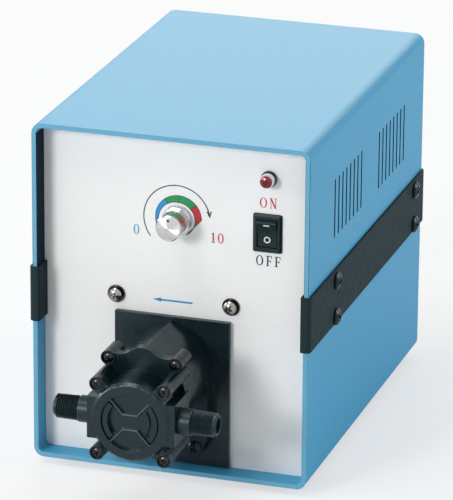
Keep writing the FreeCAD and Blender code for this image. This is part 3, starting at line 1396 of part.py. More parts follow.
def control_board():
    x, y = "board_x", "front_y + board_ahead"
    level = "floor_z + standoff_height"
    spots = [(f"{x} + {dx} * (board_width / 2 - board_inset)",
              f"{y} + {dy} * (board_depth / 2 - board_inset)") for dx in (-1, 1) for dy in (-1, 1)]
    plate = box("board_plate", (f"{x} - board_width / 2", f"{x} + board_width / 2"),
                (f"{y} - board_depth / 2", f"{y} + board_depth / 2"), (level, f"{level} + board_sheet"))
    holes = [rod("board_hole", "standoff_screw_radius + screw_clearance", "board_sheet", (px, py, level))
             for px, py in spots]
    top = f"{level} + board_sheet"
    parts = [cut("board_blank", plate, holes)]
    for side in (-1, 1):
        parts.append(rod("capacitor", "capacitor_radius", "capacitor_height",
                         (x, f"{y} + {side} * (capacitor_radius + capacitor_gap)", top)))
    sink_rear = f"{y} + board_depth / 2 - 2 * board_inset"
    sink_front = f"{sink_rear} - heat_sink_depth"
    levels = (top, f"{top} + heat_sink_height")
    parts.append(box("sink_back", (f"{x} - heat_sink_width / 2", f"{x} + heat_sink_width / 2"),
                     (sink_front, f"{sink_front} + fin_sheet"), levels))
    for step in range(int(number("fin_count"))):
        edge = f"{x} - heat_sink_width / 2 + {step} * (heat_sink_width - fin_sheet) / (fin_count - 1)"
        parts.append(box("sink_fin", (edge, f"{edge} + fin_sheet"), (sink_front, sink_rear), levels))
    node("control_board", fuse("control_board", parts))
    standoffs = []
    for px, py in spots:
        pillar = rod("standoff_pillar", "standoff_radius", "standoff_height", (px, py, "floor_z"))
        stud = rod("standoff_stud", "standoff_screw_radius", "board_sheet", (px, py, level))
        head = rod("standoff_head", "standoff_radius", "standoff_head_height", (px, py, top))
        standoffs.append(fuse("standoff", [pillar, stud, head]))
    group("board_standoffs", standoffs)


def rear_fittings():
    turned("cord_bush", [
        ("cord_hole_radius", "-cord_bush_nose"), ("cord_bush_radius", "-cord_bush_nose"),
        ("cord_bush_radius", "0"), ("cord_bush_flange", "0"),
        ("cord_bush_flange", "cord_bush_flange_height / 2"),
        ("cord_bush_radius", "cord_bush_flange_height"), ("cord_bush_radius", "cord_bush_nose"),
        ("cord_hole_radius", "cord_bush_nose"),
    ], ("cord_bush_x", "back_panel_y", "base_z + cord_bush_z"), "y")
    spot = ("fuse_x", "back_panel_y", "base_z + fuse_z")
    turned("fuse_holder", [
        ("fuse_radius + screw_clearance", "-fuse_length"), ("0", "-fuse_length"), ("0", "-fuse_body_depth"),
        ("fuse_body_radius", "-fuse_body_depth"), ("fuse_body_radius", "0"), ("fuse_collar_radius", "0"),
        ("fuse_collar_radius", "fuse_collar_height"), ("fuse_radius + screw_clearance", "fuse_collar_height"),
    ], spot, "y")
    turned("fuse_cap", [
        ("0", "fuse_collar_height"), ("fuse_cap_radius", "fuse_collar_height"),
        ("fuse_cap_radius", "fuse_collar_height + fuse_cap_height - knob_edge"),
        ("fuse_cap_radius - knob_edge", "fuse_collar_height + fuse_cap_height"),
        ("0", "fuse_collar_height + fuse_cap_height"),
    ], spot, "y")
    node("fuse", rod("fuse", "fuse_radius", "fuse_length",
                     ("fuse_x", "back_panel_y + fuse_collar_height", "base_z + fuse_z"), "-y"))


def check_document():
    """Stop if any object failed, or any sub-part is empty or invalid."""
    doc.recompute()
    failed = [item.Label for item in doc.Objects if {"Invalid", "Error"} & set(item.State)]
    empty = [piece.Label for piece in NODES if piece.Shape.isNull() or not piece.Shape.isValid()
             or not piece.Shape.Solids]
    if failed or empty:
        raise RuntimeError(f"failed: {failed}; empty or invalid: {empty}")


def write_parts():
    os.makedirs("parts", exist_ok=True)
    for piece in NODES:
        piece.Shape.exportStep(os.path.join("parts", piece.Label + ".step"))


lower_cover()
upper_cover()
front_panel()
rear_panel()
rail("left_rail", "-1")
rail("right_rail", "1")
rail_fixings()
feet()
speed_dial()
rocker_switch()
pilot_lamp()
panel_fixings()
motor_bracket()
motor()
pump_plate()
coupling_housing()
pump_body()
port("inlet_port", "x", "1")
port("outlet_port", "-x", "-1")
head_internals()
front_cover()
transformer()
control_board()
rear_fittings()
check_document()
write_parts()
print(len(NODES), "sub-parts written")
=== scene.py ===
# %% [markdown]
# A bench-top gear pump: a folded sheet-metal drive case with a recessed control panel,
# and a black moulded pump head that stands out of the panel on its magnet coupling.
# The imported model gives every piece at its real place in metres, with +Z up and the
# control panel facing -Y. The frame is loaded first, so that each piece built here
# can ride on one of its bodies.

import bpy
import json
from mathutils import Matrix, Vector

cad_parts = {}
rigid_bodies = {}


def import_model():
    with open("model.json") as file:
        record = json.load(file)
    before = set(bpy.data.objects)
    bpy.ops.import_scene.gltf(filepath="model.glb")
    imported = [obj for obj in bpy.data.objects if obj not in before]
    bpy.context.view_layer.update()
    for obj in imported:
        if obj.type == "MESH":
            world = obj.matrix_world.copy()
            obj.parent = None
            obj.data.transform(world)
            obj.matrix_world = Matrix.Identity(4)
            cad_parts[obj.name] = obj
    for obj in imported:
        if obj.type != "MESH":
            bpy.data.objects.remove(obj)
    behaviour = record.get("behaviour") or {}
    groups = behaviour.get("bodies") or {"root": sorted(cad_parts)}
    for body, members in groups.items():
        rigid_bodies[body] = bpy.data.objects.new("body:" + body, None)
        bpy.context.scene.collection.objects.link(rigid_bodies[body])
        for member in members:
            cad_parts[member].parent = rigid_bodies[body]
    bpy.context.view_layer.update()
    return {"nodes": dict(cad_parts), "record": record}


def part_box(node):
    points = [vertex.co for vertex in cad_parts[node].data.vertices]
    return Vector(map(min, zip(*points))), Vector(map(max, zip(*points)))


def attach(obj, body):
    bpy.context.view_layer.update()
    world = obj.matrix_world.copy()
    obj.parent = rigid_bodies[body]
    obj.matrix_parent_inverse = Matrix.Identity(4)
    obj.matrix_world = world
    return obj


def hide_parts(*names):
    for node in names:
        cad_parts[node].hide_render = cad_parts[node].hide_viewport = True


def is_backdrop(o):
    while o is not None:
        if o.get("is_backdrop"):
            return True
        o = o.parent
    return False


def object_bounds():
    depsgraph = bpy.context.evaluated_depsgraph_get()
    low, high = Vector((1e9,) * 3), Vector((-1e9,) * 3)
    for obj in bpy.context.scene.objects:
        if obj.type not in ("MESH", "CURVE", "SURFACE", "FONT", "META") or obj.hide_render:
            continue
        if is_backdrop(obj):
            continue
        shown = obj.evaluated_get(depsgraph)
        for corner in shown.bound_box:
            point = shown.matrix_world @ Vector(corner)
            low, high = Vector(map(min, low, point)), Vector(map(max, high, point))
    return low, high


for leftover in list(bpy.data.objects):
    bpy.data.objects.remove(leftover)
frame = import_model()
nodes = frame["nodes"]
members_of_body = frame["record"]["behaviour"]["bodies"]
body_of_node = {node: body for body, members in members_of_body.items() for node in members}
slot_of_node = {part["node"]: part["material_slot"] for part in frame["record"]["subparts"]}

# %% [markdown]
# The photograph is a long-lens view from above the right front corner. The camera was
# worked out from the straight edges of the case: it stands about two metres away, turned
# 17.6 degrees to the right and 19.6 degrees down, so parallel edges hardly converge.

# %% Camera
import math
from mathutils import Euler, Matrix, Vector

MM = 0.001
CAMERA_PLACE = Vector((633.5, -1985.2, 843.4)) * MM
CAMERA_YAW = math.radians(17.563)
CAMERA_PITCH = math.radians(19.619)
CAMERA_ROLL = math.radians(0.450)
FOCAL_LENGTH_MM, SENSOR_WIDTH_MM = 298.366, 36.0
FARTHEST_SIGHT = 50.0


def put(name, data):
    """A new object with the given data, linked to the scene."""
    thing = bpy.data.objects.new(name, data)
    bpy.context.scene.collection.objects.link(thing)
    return thing


lens = bpy.data.cameras.new("long_lens")
lens.lens = FOCAL_LENGTH_MM
lens.sensor_width = SENSOR_WIDTH_MM
lens.clip_end = FARTHEST_SIGHT
camera = put("camera", lens)
camera.location = CAMERA_PLACE
turn = Euler((math.pi / 2 - CAMERA_PITCH, 0, CAMERA_YAW), "XYZ").to_matrix()
camera.rotation_euler = (turn @ Euler((0, 0, CAMERA_ROLL)).to_matrix()).to_euler()
bpy.context.scene.camera = camera
print("the camera stands", round(CAMERA_PLACE.length, 2), "metres from the origin")

# %% [markdown]
# The world, every finish and every repeated form here are trees of nodes. Written out, a node
# takes one line to make it and one more for each value and link. These two helpers do all of
# that in one call, so that a tree reads from what goes in to what comes out.

# %% Helpers for nodes
def feed(node, sources):
    """Feed a node's inputs from values or from other nodes, and return what comes out."""
    for key, source in dict(sources).items():
        for one in source if isinstance(source, list) else [source]:
            if isinstance(one, bpy.types.NodeSocket):
                node.id_data.links.new(one, node.inputs[key])
            else:
                node.inputs[key].default_value = one
    return node.outputs


def add(tree, kind, sources=(), **settings):
    """Add a node, set its settings and feed its inputs."""
    node = tree.nodes.new(kind)
    for name, value in settings.items():
        setattr(node, name, value)
    return feed(node, sources)


# %% [markdown]
# The photograph's background is plain white, yet its shadows stay soft and visible. A white
# world that also lit the object would wash them out. So a dim, cool sky lights the object,
# and a Light Path node shows plain white to the camera, in mirrors and through glass only.

# %% World
SKY_COLOR, SKY_STRENGTH = (0.93, 0.96, 1.0, 1.0), 0.38
WHITE = (1.0, 1.0, 1.0, 1.0)


def white_to_the_eye(tree, shader, end):
    """Show plain white to the camera, in mirrors and through glass, the shader to all else."""
    path = add(tree, "ShaderNodeLightPath")
    white = add(tree, "ShaderNodeBackground", {"Color": WHITE, "Strength": 1.0})[0]
    seen = path["Is Camera Ray"]
    for kind in ("Is Glossy Ray", "Is Transmission Ray"):
        seen = add(tree, "ShaderNodeMath", {0: seen, 1: path[kind]}, operation="MAXIMUM")[0]
    mixed = add(tree, "ShaderNodeMixShader", {"Fac": seen, 1: shader, 2: white})[0]
    feed(end, {"Surface": mixed})


world = bpy.data.worlds.new("studio")
world.use_nodes = True
bpy.context.scene.world = world
sky_nodes = world.node_tree.nodes
soft_sky = feed(sky_nodes["Background"], {"Color": SKY_COLOR, "Strength": SKY_STRENGTH})[0]
white_to_the_eye(world.node_tree, soft_sky, sky_nodes["World Output"])
view = bpy.context.scene.view_settings
view.view_transform = "Standard"
print("the world has", len(sky_nodes), "nodes")

# %% [markdown]
# Five soft lamps stand round the object. The key lamp, in front, to the left and above, throws
# the knob's shadow to the lower right. A top lamp and a left lamp open up the pump head, and a
# bluish lamp at the right rear keeps the right side cool. The last one is a wide sheet of light
# far behind. The satin paint of the case's top mirrors it as a pale sheen, because the camera
# meets that face at a flat angle.

# %% Lamps
MIDDLE = Vector((0.0, 0.0, 0.09))
LAMPS = {
    "key_lamp": ((-0.95, -2.0, 0.85), (0.6, 0.6), 25.0, (1.0, 0.985, 0.97)),
    "top_lamp": ((-0.55, -0.65, 1.9), (0.7, 0.7), 9.5, (1.0, 0.97, 0.90)),
    "left_lamp": ((-1.9, -0.3, 0.75), (0.8, 0.8), 14.0, (1.0, 1.0, 1.0)),
    "fill_lamp": ((1.75, 0.95, 0.75), (1.0, 1.0), 16.0, (0.84, 0.95, 1.0)),
    "back_lamp": ((-0.45, 2.6, 1.08), (1.9, 1.1), 28.5, (1.0, 0.96, 0.88)),
}
for name, (place, size, watts, color) in LAMPS.items():
    sheet = bpy.data.lights.new(name, "AREA")
    sheet.shape = "RECTANGLE"
    sheet.size, sheet.size_y = size
    sheet.energy = watts
    sheet.color = color
    lamp = put(name, sheet)
    lamp.location = place
    lamp.rotation_euler = (MIDDLE - Vector(place)).to_track_quat("-Z", "Y").to_euler()
    print(name, "gives", watts, "watts")

# %% [markdown]
# The floor is a wide sheet of pale paper. Lit paper is never as white as the background, so
# its far edge would show. A share of plain white, mixed in for the camera only, carries it
# most of the way there and leaves the object's soft shadow on it.

# %% Floor
FLOOR_HALF = 6.0
PAPER_COLOR, PAPER_ROUGHNESS, PAPER_GLOSS = (0.86, 0.87, 0.88, 1.0), 0.9, 0.2
WHITE_SHARE = 0.6


def lift_to_white(tree, share):
    """Carry a surface part of the way to plain white, for the camera only."""
    seen = add(tree, "ShaderNodeLightPath")["Is Camera Ray"]
    amount = add(tree, "ShaderNodeMath", {0: seen, 1: share}, operation="MULTIPLY")[0]
    white = add(tree, "ShaderNodeEmission")[0]
    lit = tree.nodes["Principled BSDF"].outputs[0]
    mixed = add(tree, "ShaderNodeMixShader", {"Fac": amount, 1: lit, 2: white})[0]
    feed(tree.nodes["Material Output"], {"Surface": mixed})


floor_mesh = bpy.data.meshes.new("floor")
floor_mesh.from_pydata([(FLOOR_HALF * x, FLOOR_HALF * y, 0)
                        for x, y in ((-1, -1), (1, -1), (1, 1), (-1, 1))], [], [(0, 1, 2, 3)])
floor = put("floor", floor_mesh)
floor_paper = bpy.data.materials.new("floor_paper")
floor_paper.use_nodes = True
floor_mesh.materials.append(floor_paper)
floor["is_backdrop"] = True
feed(floor_paper.node_tree.nodes["Principled BSDF"], {
    "Base Color": PAPER_COLOR, "Roughness": PAPER_ROUGHNESS, "Specular IOR Level": PAPER_GLOSS})
lift_to_white(floor_paper.node_tree, WHITE_SHARE)
print("the floor is", 2 * FLOOR_HALF, "metres wide")

# %% [markdown]
# Every finish starts from one helper. A real surface is never one flat value: enamel has a
# fine orange peel, moulded plastic a satin grain, metal a drift in its polish. An even colour
# would be quicker, but it looks like a drawing. So each finish has noise in its colour, its
# roughness and its bump, read from Object coordinates in metres, so that a grain of a
# millimetre stays a millimetre.

# %% Helpers for finishes
NO_STRETCH = (1.0, 1.0, 1.0)
DRIFT = 9
BUMP_STRENGTH = 0.6
MICROMETRE = 1e-6


def noise(tree, grain_mm, stretch=NO_STRETCH):
    """Noise whose grain is a size in millimetres, drawn out along an axis by a stretch below 1."""
    place = add(tree, "ShaderNodeTexCoord")["Object"]
    drawn_out = add(tree, "ShaderNodeMapping", {"Vector": place, "Scale": stretch})["Vector"]
    return add(tree, "ShaderNodeTexNoise", {
        "Vector": drawn_out, "Scale": 1.0 / (grain_mm * MM), "Detail": 2.0})["Fac"]


def ramp(tree, value, low, high, start=0.3, end=0.7):
    """A value between start and end carried to the range between low and high."""
    return add(tree, "ShaderNodeMapRange", {
        "Value": value, "From Min": start, "From Max": end, "To Min": low, "To Max": high})["Result"]


def blend_colors(tree, value, first, second):
    """The first colour where the value is 0, and the second where it is 1."""
    return add(tree, "ShaderNodeMix", {0: value, 6: (*first, 1.0), 7: (*second, 1.0)},
               data_type="RGBA")[2]


def finish(name, dark, pale, rough, grain_mm, bump, sockets=(), stretch=NO_STRETCH):
    """A finish between two colours and two roughnesses, with a bump in micrometres."""
    paint = bpy.data.materials.new(name)
    paint.use_nodes = True
    tree = paint.node_tree
    grain = noise(tree, grain_mm, stretch)
    color = blend_colors(tree, ramp(tree, grain, 0.0, 1.0), dark, pale)
    polish = ramp(tree, noise(tree, grain_mm * DRIFT), *rough)
    relief = add(tree, "ShaderNodeBump", {
        "Height": grain, "Strength": BUMP_STRENGTH, "Distance": bump * MICROMETRE})["Normal"]
    feed(tree.nodes["Principled BSDF"], {
        "Base Color": color, "Roughness": polish, "Normal": relief, **dict(sockets)})
    return paint


# %% [markdown]
# The finishes of the case and the pump head. The enamel is a strong sky blue that looks pale
# on top only because it mirrors the sheet of light there, so its own colour stays deep. The
# moulded plastic is the other way round: it is close to black, and the slate grey that the eye
# sees is the pale floor and the white studio in its gloss. A cool tint on that gloss gives the
# plastic its blue-green cast.

# %% Finishes of the case and the head
COOL = (0.74, 0.94, 1.0, 1.0)


def gloss(level, tint=WHITE):
    """The sockets that say how strongly a paint or a plastic mirrors, and in which tint."""
    return {"Specular IOR Level": level, "Specular Tint": tint}


finishes = {
    "blue_paint": finish(
        "blue_enamel", (0.046, 0.308, 0.525), (0.086, 0.368, 0.580), (0.41, 0.44), 0.6, 24, gloss(0.14)),
    "white_panel": finish(
        "white_enamel", (0.79, 0.80, 0.80), (0.82, 0.83, 0.83), (0.34, 0.42), 1.2, 10, gloss(0.4)),
    "black_paint": finish(
        "black_powder_coat", (0.015, 0.029, 0.034), (0.020, 0.036, 0.042), (0.50, 0.60), 0.5, 30,
        gloss(0.04)),
    "black_moulding": finish(
        "black_moulding", (0.004, 0.011, 0.014), (0.006, 0.015, 0.019), (0.21, 0.29), 0.45, 8,
        gloss(0.42, COOL)),
    "black_gloss": finish(
        "black_gloss", (0.007, 0.015, 0.017), (0.010, 0.019, 0.022), (0.26, 0.34), 1.5, 5,
        gloss(0.28, COOL)),
    "black_screw": finish(
        "black_oxide", (0.005, 0.009, 0.010), (0.008, 0.013, 0.015), (0.14, 0.22), 0.6, 8,
        gloss(0.26, COOL)),
}
print(len(finishes), "finishes for the case and the head")

# %% [markdown]
# Plated and turned metal differ mostly in how sharp their reflections are, and in which way
# their polish runs. Stretching the noise along one axis turns its grain into fine brushing.
# The knob's face is spun, so its fine circular grooves spread each lamp sideways into wedges
# of light: that is what the Anisotropic socket and a radial tangent do.

# %% Finishes of metal
METAL = {"Metallic": 1.0}
SPUN = {"Metallic": 1.0, "Anisotropic": 0.95, "Anisotropic Rotation": 0.125}
finishes.update({
    "nickel": finish(
        "nickel_plate", (0.30, 0.285, 0.265), (0.42, 0.40, 0.375), (0.14, 0.22), 0.8, 6, METAL),
    "dark_nickel": finish(
        "dark_nickel", (0.034, 0.034, 0.035), (0.060, 0.060, 0.060), (0.14, 0.22), 0.8, 6, METAL),
    "zinc_steel": finish(
        "zinc_plate", (0.50, 0.52, 0.55), (0.64, 0.65, 0.66), (0.28, 0.40), 1.0, 8, METAL),
    "motor_steel": finish(
        "drawn_steel", (0.36, 0.37, 0.38), (0.48, 0.48, 0.49), (0.32, 0.44), 0.5, 8,
        METAL, stretch=(1.0, 0.05, 1.0)),
    "knob_metal": finish(
        "polished_aluminium", (0.60, 0.60, 0.61), (0.70, 0.70, 0.71), (0.14, 0.20), 0.5, 5, METAL),
    "spun_face": finish(
        "spun_aluminium", (0.66, 0.66, 0.67), (0.76, 0.76, 0.77), (0.42, 0.50), 0.5, 5, SPUN),
    "chrome": finish(
        "chrome_plate", (0.74, 0.76, 0.78), (0.82, 0.84, 0.86), (0.06, 0.12), 1.0, 3, METAL),
    "brass": finish(
        "brass", (0.62, 0.44, 0.18), (0.72, 0.53, 0.24), (0.28, 0.38), 0.8, 8, METAL),
    "core_iron": finish(
        "laminated_iron", (0.10, 0.10, 0.11), (0.20, 0.20, 0.21), (0.45, 0.6), 0.6, 30,
        METAL, stretch=(0.05, 1.0, 0.05)),
})
face_tree = finishes["spun_face"].node_tree
around_knob = add(face_tree, "ShaderNodeTangent", direction_type="RADIAL", axis="Y")[0]
feed(face_tree.nodes["Principled BSDF"], {"Tangent": around_knob})
print(len(finishes), "finishes so far")

# %% [markdown]
# Rubber, magnets, carbon, gear plastic, the board, the winding and glass are seen when the
# part is opened or turned over, so they get a grain of their own as well. Each CAD node then
# takes the finish that its material slot names.

# %% Finishes of the other pieces
finishes.update({
    "rubber": finish(
        "foot_rubber", (0.010, 0.010, 0.011), (0.020, 0.020, 0.021), (0.75, 0.9), 0.4, 40),
    "seal_rubber": finish(
        "seal_rubber", (0.010, 0.010, 0.010), (0.016, 0.016, 0.016), (0.5, 0.6), 0.5, 12),
    "ceramic_magnet": finish(
        "ferrite", (0.030, 0.030, 0.032), (0.060, 0.060, 0.062), (0.5, 0.65), 0.6, 26),
    "carbon": finish(
        "carbon", (0.014, 0.014, 0.015), (0.026, 0.026, 0.027), (0.38, 0.5), 0.5, 14),
    "gear_plastic": finish(
        "gear_plastic", (0.66, 0.62, 0.50), (0.72, 0.68, 0.56), (0.36, 0.46), 0.9, 8),
    "circuit_green": finish(
        "solder_mask", (0.010, 0.090, 0.030), (0.020, 0.140, 0.050), (0.24, 0.36), 2.2, 16),
    "winding": finish(
        "coil_tape", (0.50, 0.36, 0.06), (0.60, 0.44, 0.10), (0.35, 0.5), 0.9, 30, stretch=(1.0, 1.0, 0.1)),
    "lamp_red": finish(
        "lamp_red", (0.16, 0.003, 0.010), (0.22, 0.005, 0.014), (0.06, 0.12), 2.0, 3, gloss(0.5)),
    "glass": finish(
        "fuse_glass", (0.86, 0.90, 0.90), (0.92, 0.95, 0.95), (0.02, 0.06), 3.0, 1,
        {"Transmission Weight": 0.9, "IOR": 1.5}),
})
for node, part in nodes.items():
    for material_slot in part.material_slots:
        material_slot.material = finishes[slot_of_node[node]]
print(len(finishes), "finishes on", len(nodes), "nodes")

# %% [markdown]
# Some pieces differ a little from others of the same stuff. The barrel and the body of the head
# are smoother than its cover, and their darker colour is painted shade of their place behind it.
# The ports are duller, so that their threads show. The crests of the cover's ribs carry a painted
# highlight, the case's rims a painted sheen, and the inner walls of the vent slots painted shade.

# %% Finishes that vary another one
COOLER = (0.66, 0.90, 1.0, 1.0)
finishes.update({
    # Partly painted shade: the darker colour stands for the shade behind the cover; the smoother, less
    # glossy surface is real.
    "body": finish(
        "body_moulding_shaded", (0.002, 0.008, 0.011), (0.004, 0.012, 0.016), (0.18, 0.25), 0.45, 8,
        gloss(0.27, COOLER)),
    "port": finish(
        "port_moulding", (0.009, 0.019, 0.023), (0.014, 0.026, 0.031), (0.30, 0.38), 0.45, 22,
        gloss(0.30, COOL)),
    # Painted highlight: the pale crests of the cover's ribs stand for the light that their edges catch.
    "crest_highlight": finish(
        "crest_highlight_moulding", (0.045, 0.062, 0.068), (0.065, 0.084, 0.090), (0.30, 0.38), 0.45, 14,
        gloss(0.5)),
    # Painted sheen: the paler, greyer rims stand for the light that the faces looking front and rear
    # mirror.
    "rim_sheen": finish(
        "rim_sheen_enamel", (0.100, 0.325, 0.495), (0.160, 0.390, 0.550), (0.41, 0.44), 0.6, 24, gloss(0.14)),
    # Painted shade: the dark walls of the vent slots stand for the shadow inside them.
    "slot_shade": finish(
        "painted_slot_shade", (0.003, 0.018, 0.032), (0.005, 0.024, 0.042), (0.7, 0.8), 0.6, 10, gloss(0.1)),
})
print(len(finishes), "finishes in all")

# %% [markdown]
# The inks of the panel's print. Screen ink is matt and nearly even, so one recipe serves all
# the colours: a fine grain only six per cent darker than the ink itself.

# %% Inks
INK_COLORS = {
    "blue": (0.004, 0.27, 0.62), "sky": (0.05, 0.33, 0.55), "green": (0.004, 0.26, 0.075),
    "red": (0.48, 0.022, 0.036), "crimson": (0.52, 0.025, 0.060), "navy": (0.012, 0.014, 0.070),
    "dark": (0.008, 0.008, 0.022), "black": (0.012, 0.012, 0.014), "white": (0.72, 0.73, 0.74),
}
INK_SHADE = 0.94
inks = {name: finish("ink_" + name, [INK_SHADE * level for level in color], color,
                     (0.40, 0.52), 0.3, 4)
        for name, color in INK_COLORS.items()}
print(len(inks), "inks")

# %% [markdown]
# A folded sheet or a moulding never has a knife edge: the small rounding along its edges
# catches the light and is what makes it look real. The CAD solids keep sharp edges so that
# they stay easy to check. Each visible one is copied, its triangles are merged back into flat
# faces, and a live Bevel that is then applied rounds its sharp edges. Softly shaded, with true
# flat faces, the copy replaces its node. Two forms are added on the way: the floor of the
# cover's dish is sunk a little deeper, and the switch gets rounder corners.

# %% Helpers for rounded edges
import bmesh

SHARP = math.radians(32)
ALMOST_FLAT = math.radians(0.8)
SAME_POINT, SLIVER = 0.002 * MM, 0.1 * MM
DISH_LEVEL, DISH_DROP, NEAR = -138.75 * MM, 0.5 * MM, 0.05 * MM
CORNER_ANGLE, ALONG_Y = 1.2, 0.99
EDGE_STEPS, CORNER_STEPS = 3, 4


def place_piece(name, mesh, body, material):
    """Link a mesh whose place is already in it, give it a finish, and let it ride on a body."""
    piece = put(name, mesh)
    mesh.materials.clear()
    mesh.materials.append(material)
    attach(piece, body)
    return piece


def as_mesh(shape, name):
    """A plain mesh with the given shape, which is set free."""
    mesh = bpy.data.meshes.new(name)
    shape.to_mesh(mesh)
    shape.free()
    return mesh


def baked(holder, name):
    """The holder with its modifiers applied, as a plain mesh; the holder is removed."""
    live = holder.evaluated_get(bpy.context.evaluated_depsgraph_get())
    mesh = bpy.data.meshes.new_from_object(live)
    mesh.name = name
    bpy.data.objects.remove(holder)
    return mesh


def is_corner(edge):
    """Whether an edge runs along Y between two faces that meet at an outer corner."""
    if not edge.is_manifold or edge.calc_face_angle_signed() <= CORNER_ANGLE:
        return False
    return abs((edge.verts[0].co - edge.verts[1].co).normalized().y) > ALONG_Y


def merged_copy(node, corner_mm):
    """A copy of a node's mesh with flat faces in one piece, and rounder corners if asked."""
    shape = bmesh.new()
    shape.from_mesh(nodes[node].data)
    bmesh.ops.remove_doubles(shape, verts=shape.verts, dist=SAME_POINT)
    bmesh.ops.dissolve_limit(shape, angle_limit=ALMOST_FLAT, verts=shape.verts, edges=shape.edges)
    bmesh.ops.remove_doubles(shape, verts=shape.verts, dist=SLIVER)
    if node == "front_cover":
        for vertex in shape.verts:
            if abs(vertex.co.y - DISH_LEVEL) < NEAR:
                vertex.co.y += DISH_DROP
    if corner_mm:
        corners = [edge for edge in shape.edges if is_corner(edge)]
        bmesh.ops.bevel(shape, geom=corners, offset=corner_mm * MM, segments=CORNER_STEPS,
                        profile=0.5, affect="EDGES")
    mesh = as_mesh(shape, node + "_merged")
    mesh.shade_smooth()
    return mesh


def softened(node, width_mm, corner_mm=0.0):
    """Replace a node by a copy of it with rounded edges."""
    holder = put(node + "_holder", merged_copy(node, corner_mm))
    bevel = holder.modifiers.new("rounding", "BEVEL")
    bevel.width = width_mm * MM
    bevel.segments = EDGE_STEPS
    bevel.limit_method = "ANGLE"
    bevel.angle_limit = SHARP
    bevel.use_clamp_overlap = False
    holder.modifiers.new("flat_faces", "WEIGHTED_NORMAL")
    piece = place_piece(node + "_soft", baked(holder, node + "_soft"), body_of_node[node],
                        finishes[slot_of_node[node]])
    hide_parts(node)
    return piece


print("edges sharper than", round(math.degrees(SHARP)), "degrees are rounded")

# %% [markdown]
# The rounding of each visible piece is a real size in millimetres: a folded sheet keeps a
# smaller one than a rubber foot. A few pieces then take a darker or glossier finish than the
# usual one of their material slot, but they keep the slot's name.

# %% Rounded edges
EDGES = {
    "lower_cover": 0.2, "upper_cover": 0.2, "front_panel": 0.25, "rear_panel": 0.25,
    "left_rail": 0.25, "right_rail": 0.25, "pump_plate": 0.3, "coupling_housing": 0.15,
    "pump_body": 0.15, "front_cover": 0.2, "switch_body": 0.2, "flat_washers": 0.12,
    "cord_bush": 0.3, "fuse_holder": 0.2, "fuse_cap": 0.25, "rubber_feet": 0.4,
    "lamp_bezel": 0.25, "switch_rocker": 0.3,
}
CORNERS = {"switch_body": 1.2, "switch_rocker": 1.2}
OTHER_FINISHES = {
    "lamp_bezel": "dark_nickel", "flat_washers": "dark_nickel", "pump_plate": "black_moulding",
    "coupling_housing": "body", "pump_body": "body",
}
softened_pieces = {node: softened(node, width, CORNERS.get(node, 0.0))
                   for node, width in EDGES.items()}
for node, name in OTHER_FINISHES.items():
    softened_pieces[node].data.materials[0] = finishes[name]
print(sum(len(piece.data.polygons) for piece in softened_pieces.values()), "faces in",
      len(softened_pieces), "softened pieces")

# %% [markdown]
# Three finishes cover only part of a piece: a painted highlight on the crests of the cover's ribs,
# a painted sheen on the rims of the case, and painted shade on the walls of its vent slots. Loose
# extra sheets would stand proud of the surface. So a second material goes on the faces that a
# small test picks out by where they are and which way they face.

# %% Second finishes
CREST_LEVEL, CREST_BAND, CREST_FACING = -139.95 * MM, 0.16 * MM, -0.5
COVER_X, COVER_Z = -1.4 * MM, 54.4 * MM
RIM_FACING = 0.7
SLOT_SIDE, SLOT_DEPTH, SLOT_REACH = 74.95 * MM, 3.0 * MM, 100.0 * MM
SLOT_LOW, SLOT_HIGH = 110.0 * MM, 172.0 * MM


def on_crest(center, normal):
    """Whether a face is on a rib of the cover, above or below its middle."""
    level = abs(center.y - CREST_LEVEL) < CREST_BAND and normal.y < CREST_FACING
    return level and abs(center.z - COVER_Z) > abs(center.x - COVER_X)


def on_rim(center, normal):
    """Whether a face of the case looks to the front or the rear."""
    return abs(normal.y) > RIM_FACING


def in_slot(center, normal):
    """Whether a face is a wall of a vent slot."""
    in_sheet = SLOT_SIDE - SLOT_DEPTH < abs(center.x) < SLOT_SIDE
    return in_sheet and abs(center.y) < SLOT_REACH and SLOT_LOW < center.z < SLOT_HIGH


def add_finish(node, name, test):
    """Give a piece another finish on the faces that a test picks out."""
    mesh = softened_pieces[node].data
    mesh.materials.append(finishes[name])
    chosen = [face for face in mesh.polygons if test(face.center, face.normal)]
    for face in chosen:
        face.material_index = len(mesh.materials) - 1
    print(node, "has", len(chosen), "faces of", name)


add_finish("front_cover", "crest_highlight", on_crest)
add_finish("lower_cover", "rim_sheen", on_rim)
add_finish("upper_cover", "rim_sheen", on_rim)
add_finish("upper_cover", "slot_shade", in_slot)

# %% [markdown]
# Cross-head screws are the piece that repeats most: there are twenty-six here, in seven groups
# with five head radii. Modelling one and copying it by hand would work for a single size.
# Geometry Nodes make them all from one recipe with named inputs. These short helpers keep such
# a recipe readable, from its inputs to the plain mesh that it makes.

# %% Helpers for node trees
def new_tree(name, sizes):
    """A geometry tree with named inputs: numbers with a default, and one material."""
    tree = bpy.data.node_groups.new(name, "GeometryNodeTree")
    tree.interface.new_socket("Geometry", in_out="INPUT", socket_type="NodeSocketGeometry")
    for label, value in sizes.items():
        kind = "NodeSocketVector" if isinstance(value, tuple) else "NodeSocketFloat"
        tree.interface.new_socket(label, in_out="INPUT", socket_type=kind).default_value = value
    tree.interface.new_socket("Finish", in_out="INPUT", socket_type="NodeSocketMaterial")
    tree.interface.new_socket("Geometry", in_out="OUTPUT", socket_type="NodeSocketGeometry")
    return tree, tree.nodes.new("NodeGroupInput").outputs


def calc(tree, operation, first, second=0.0):
    """The result of one step of arithmetic."""
    return add(tree, "ShaderNodeMath", {0: first, 1: second}, operation=operation)[0]


def xyz(tree, **parts):
    """A vector from the parts that are given, with 0 for the others."""
    return add(tree, "ShaderNodeCombineXYZ", parts)[0]


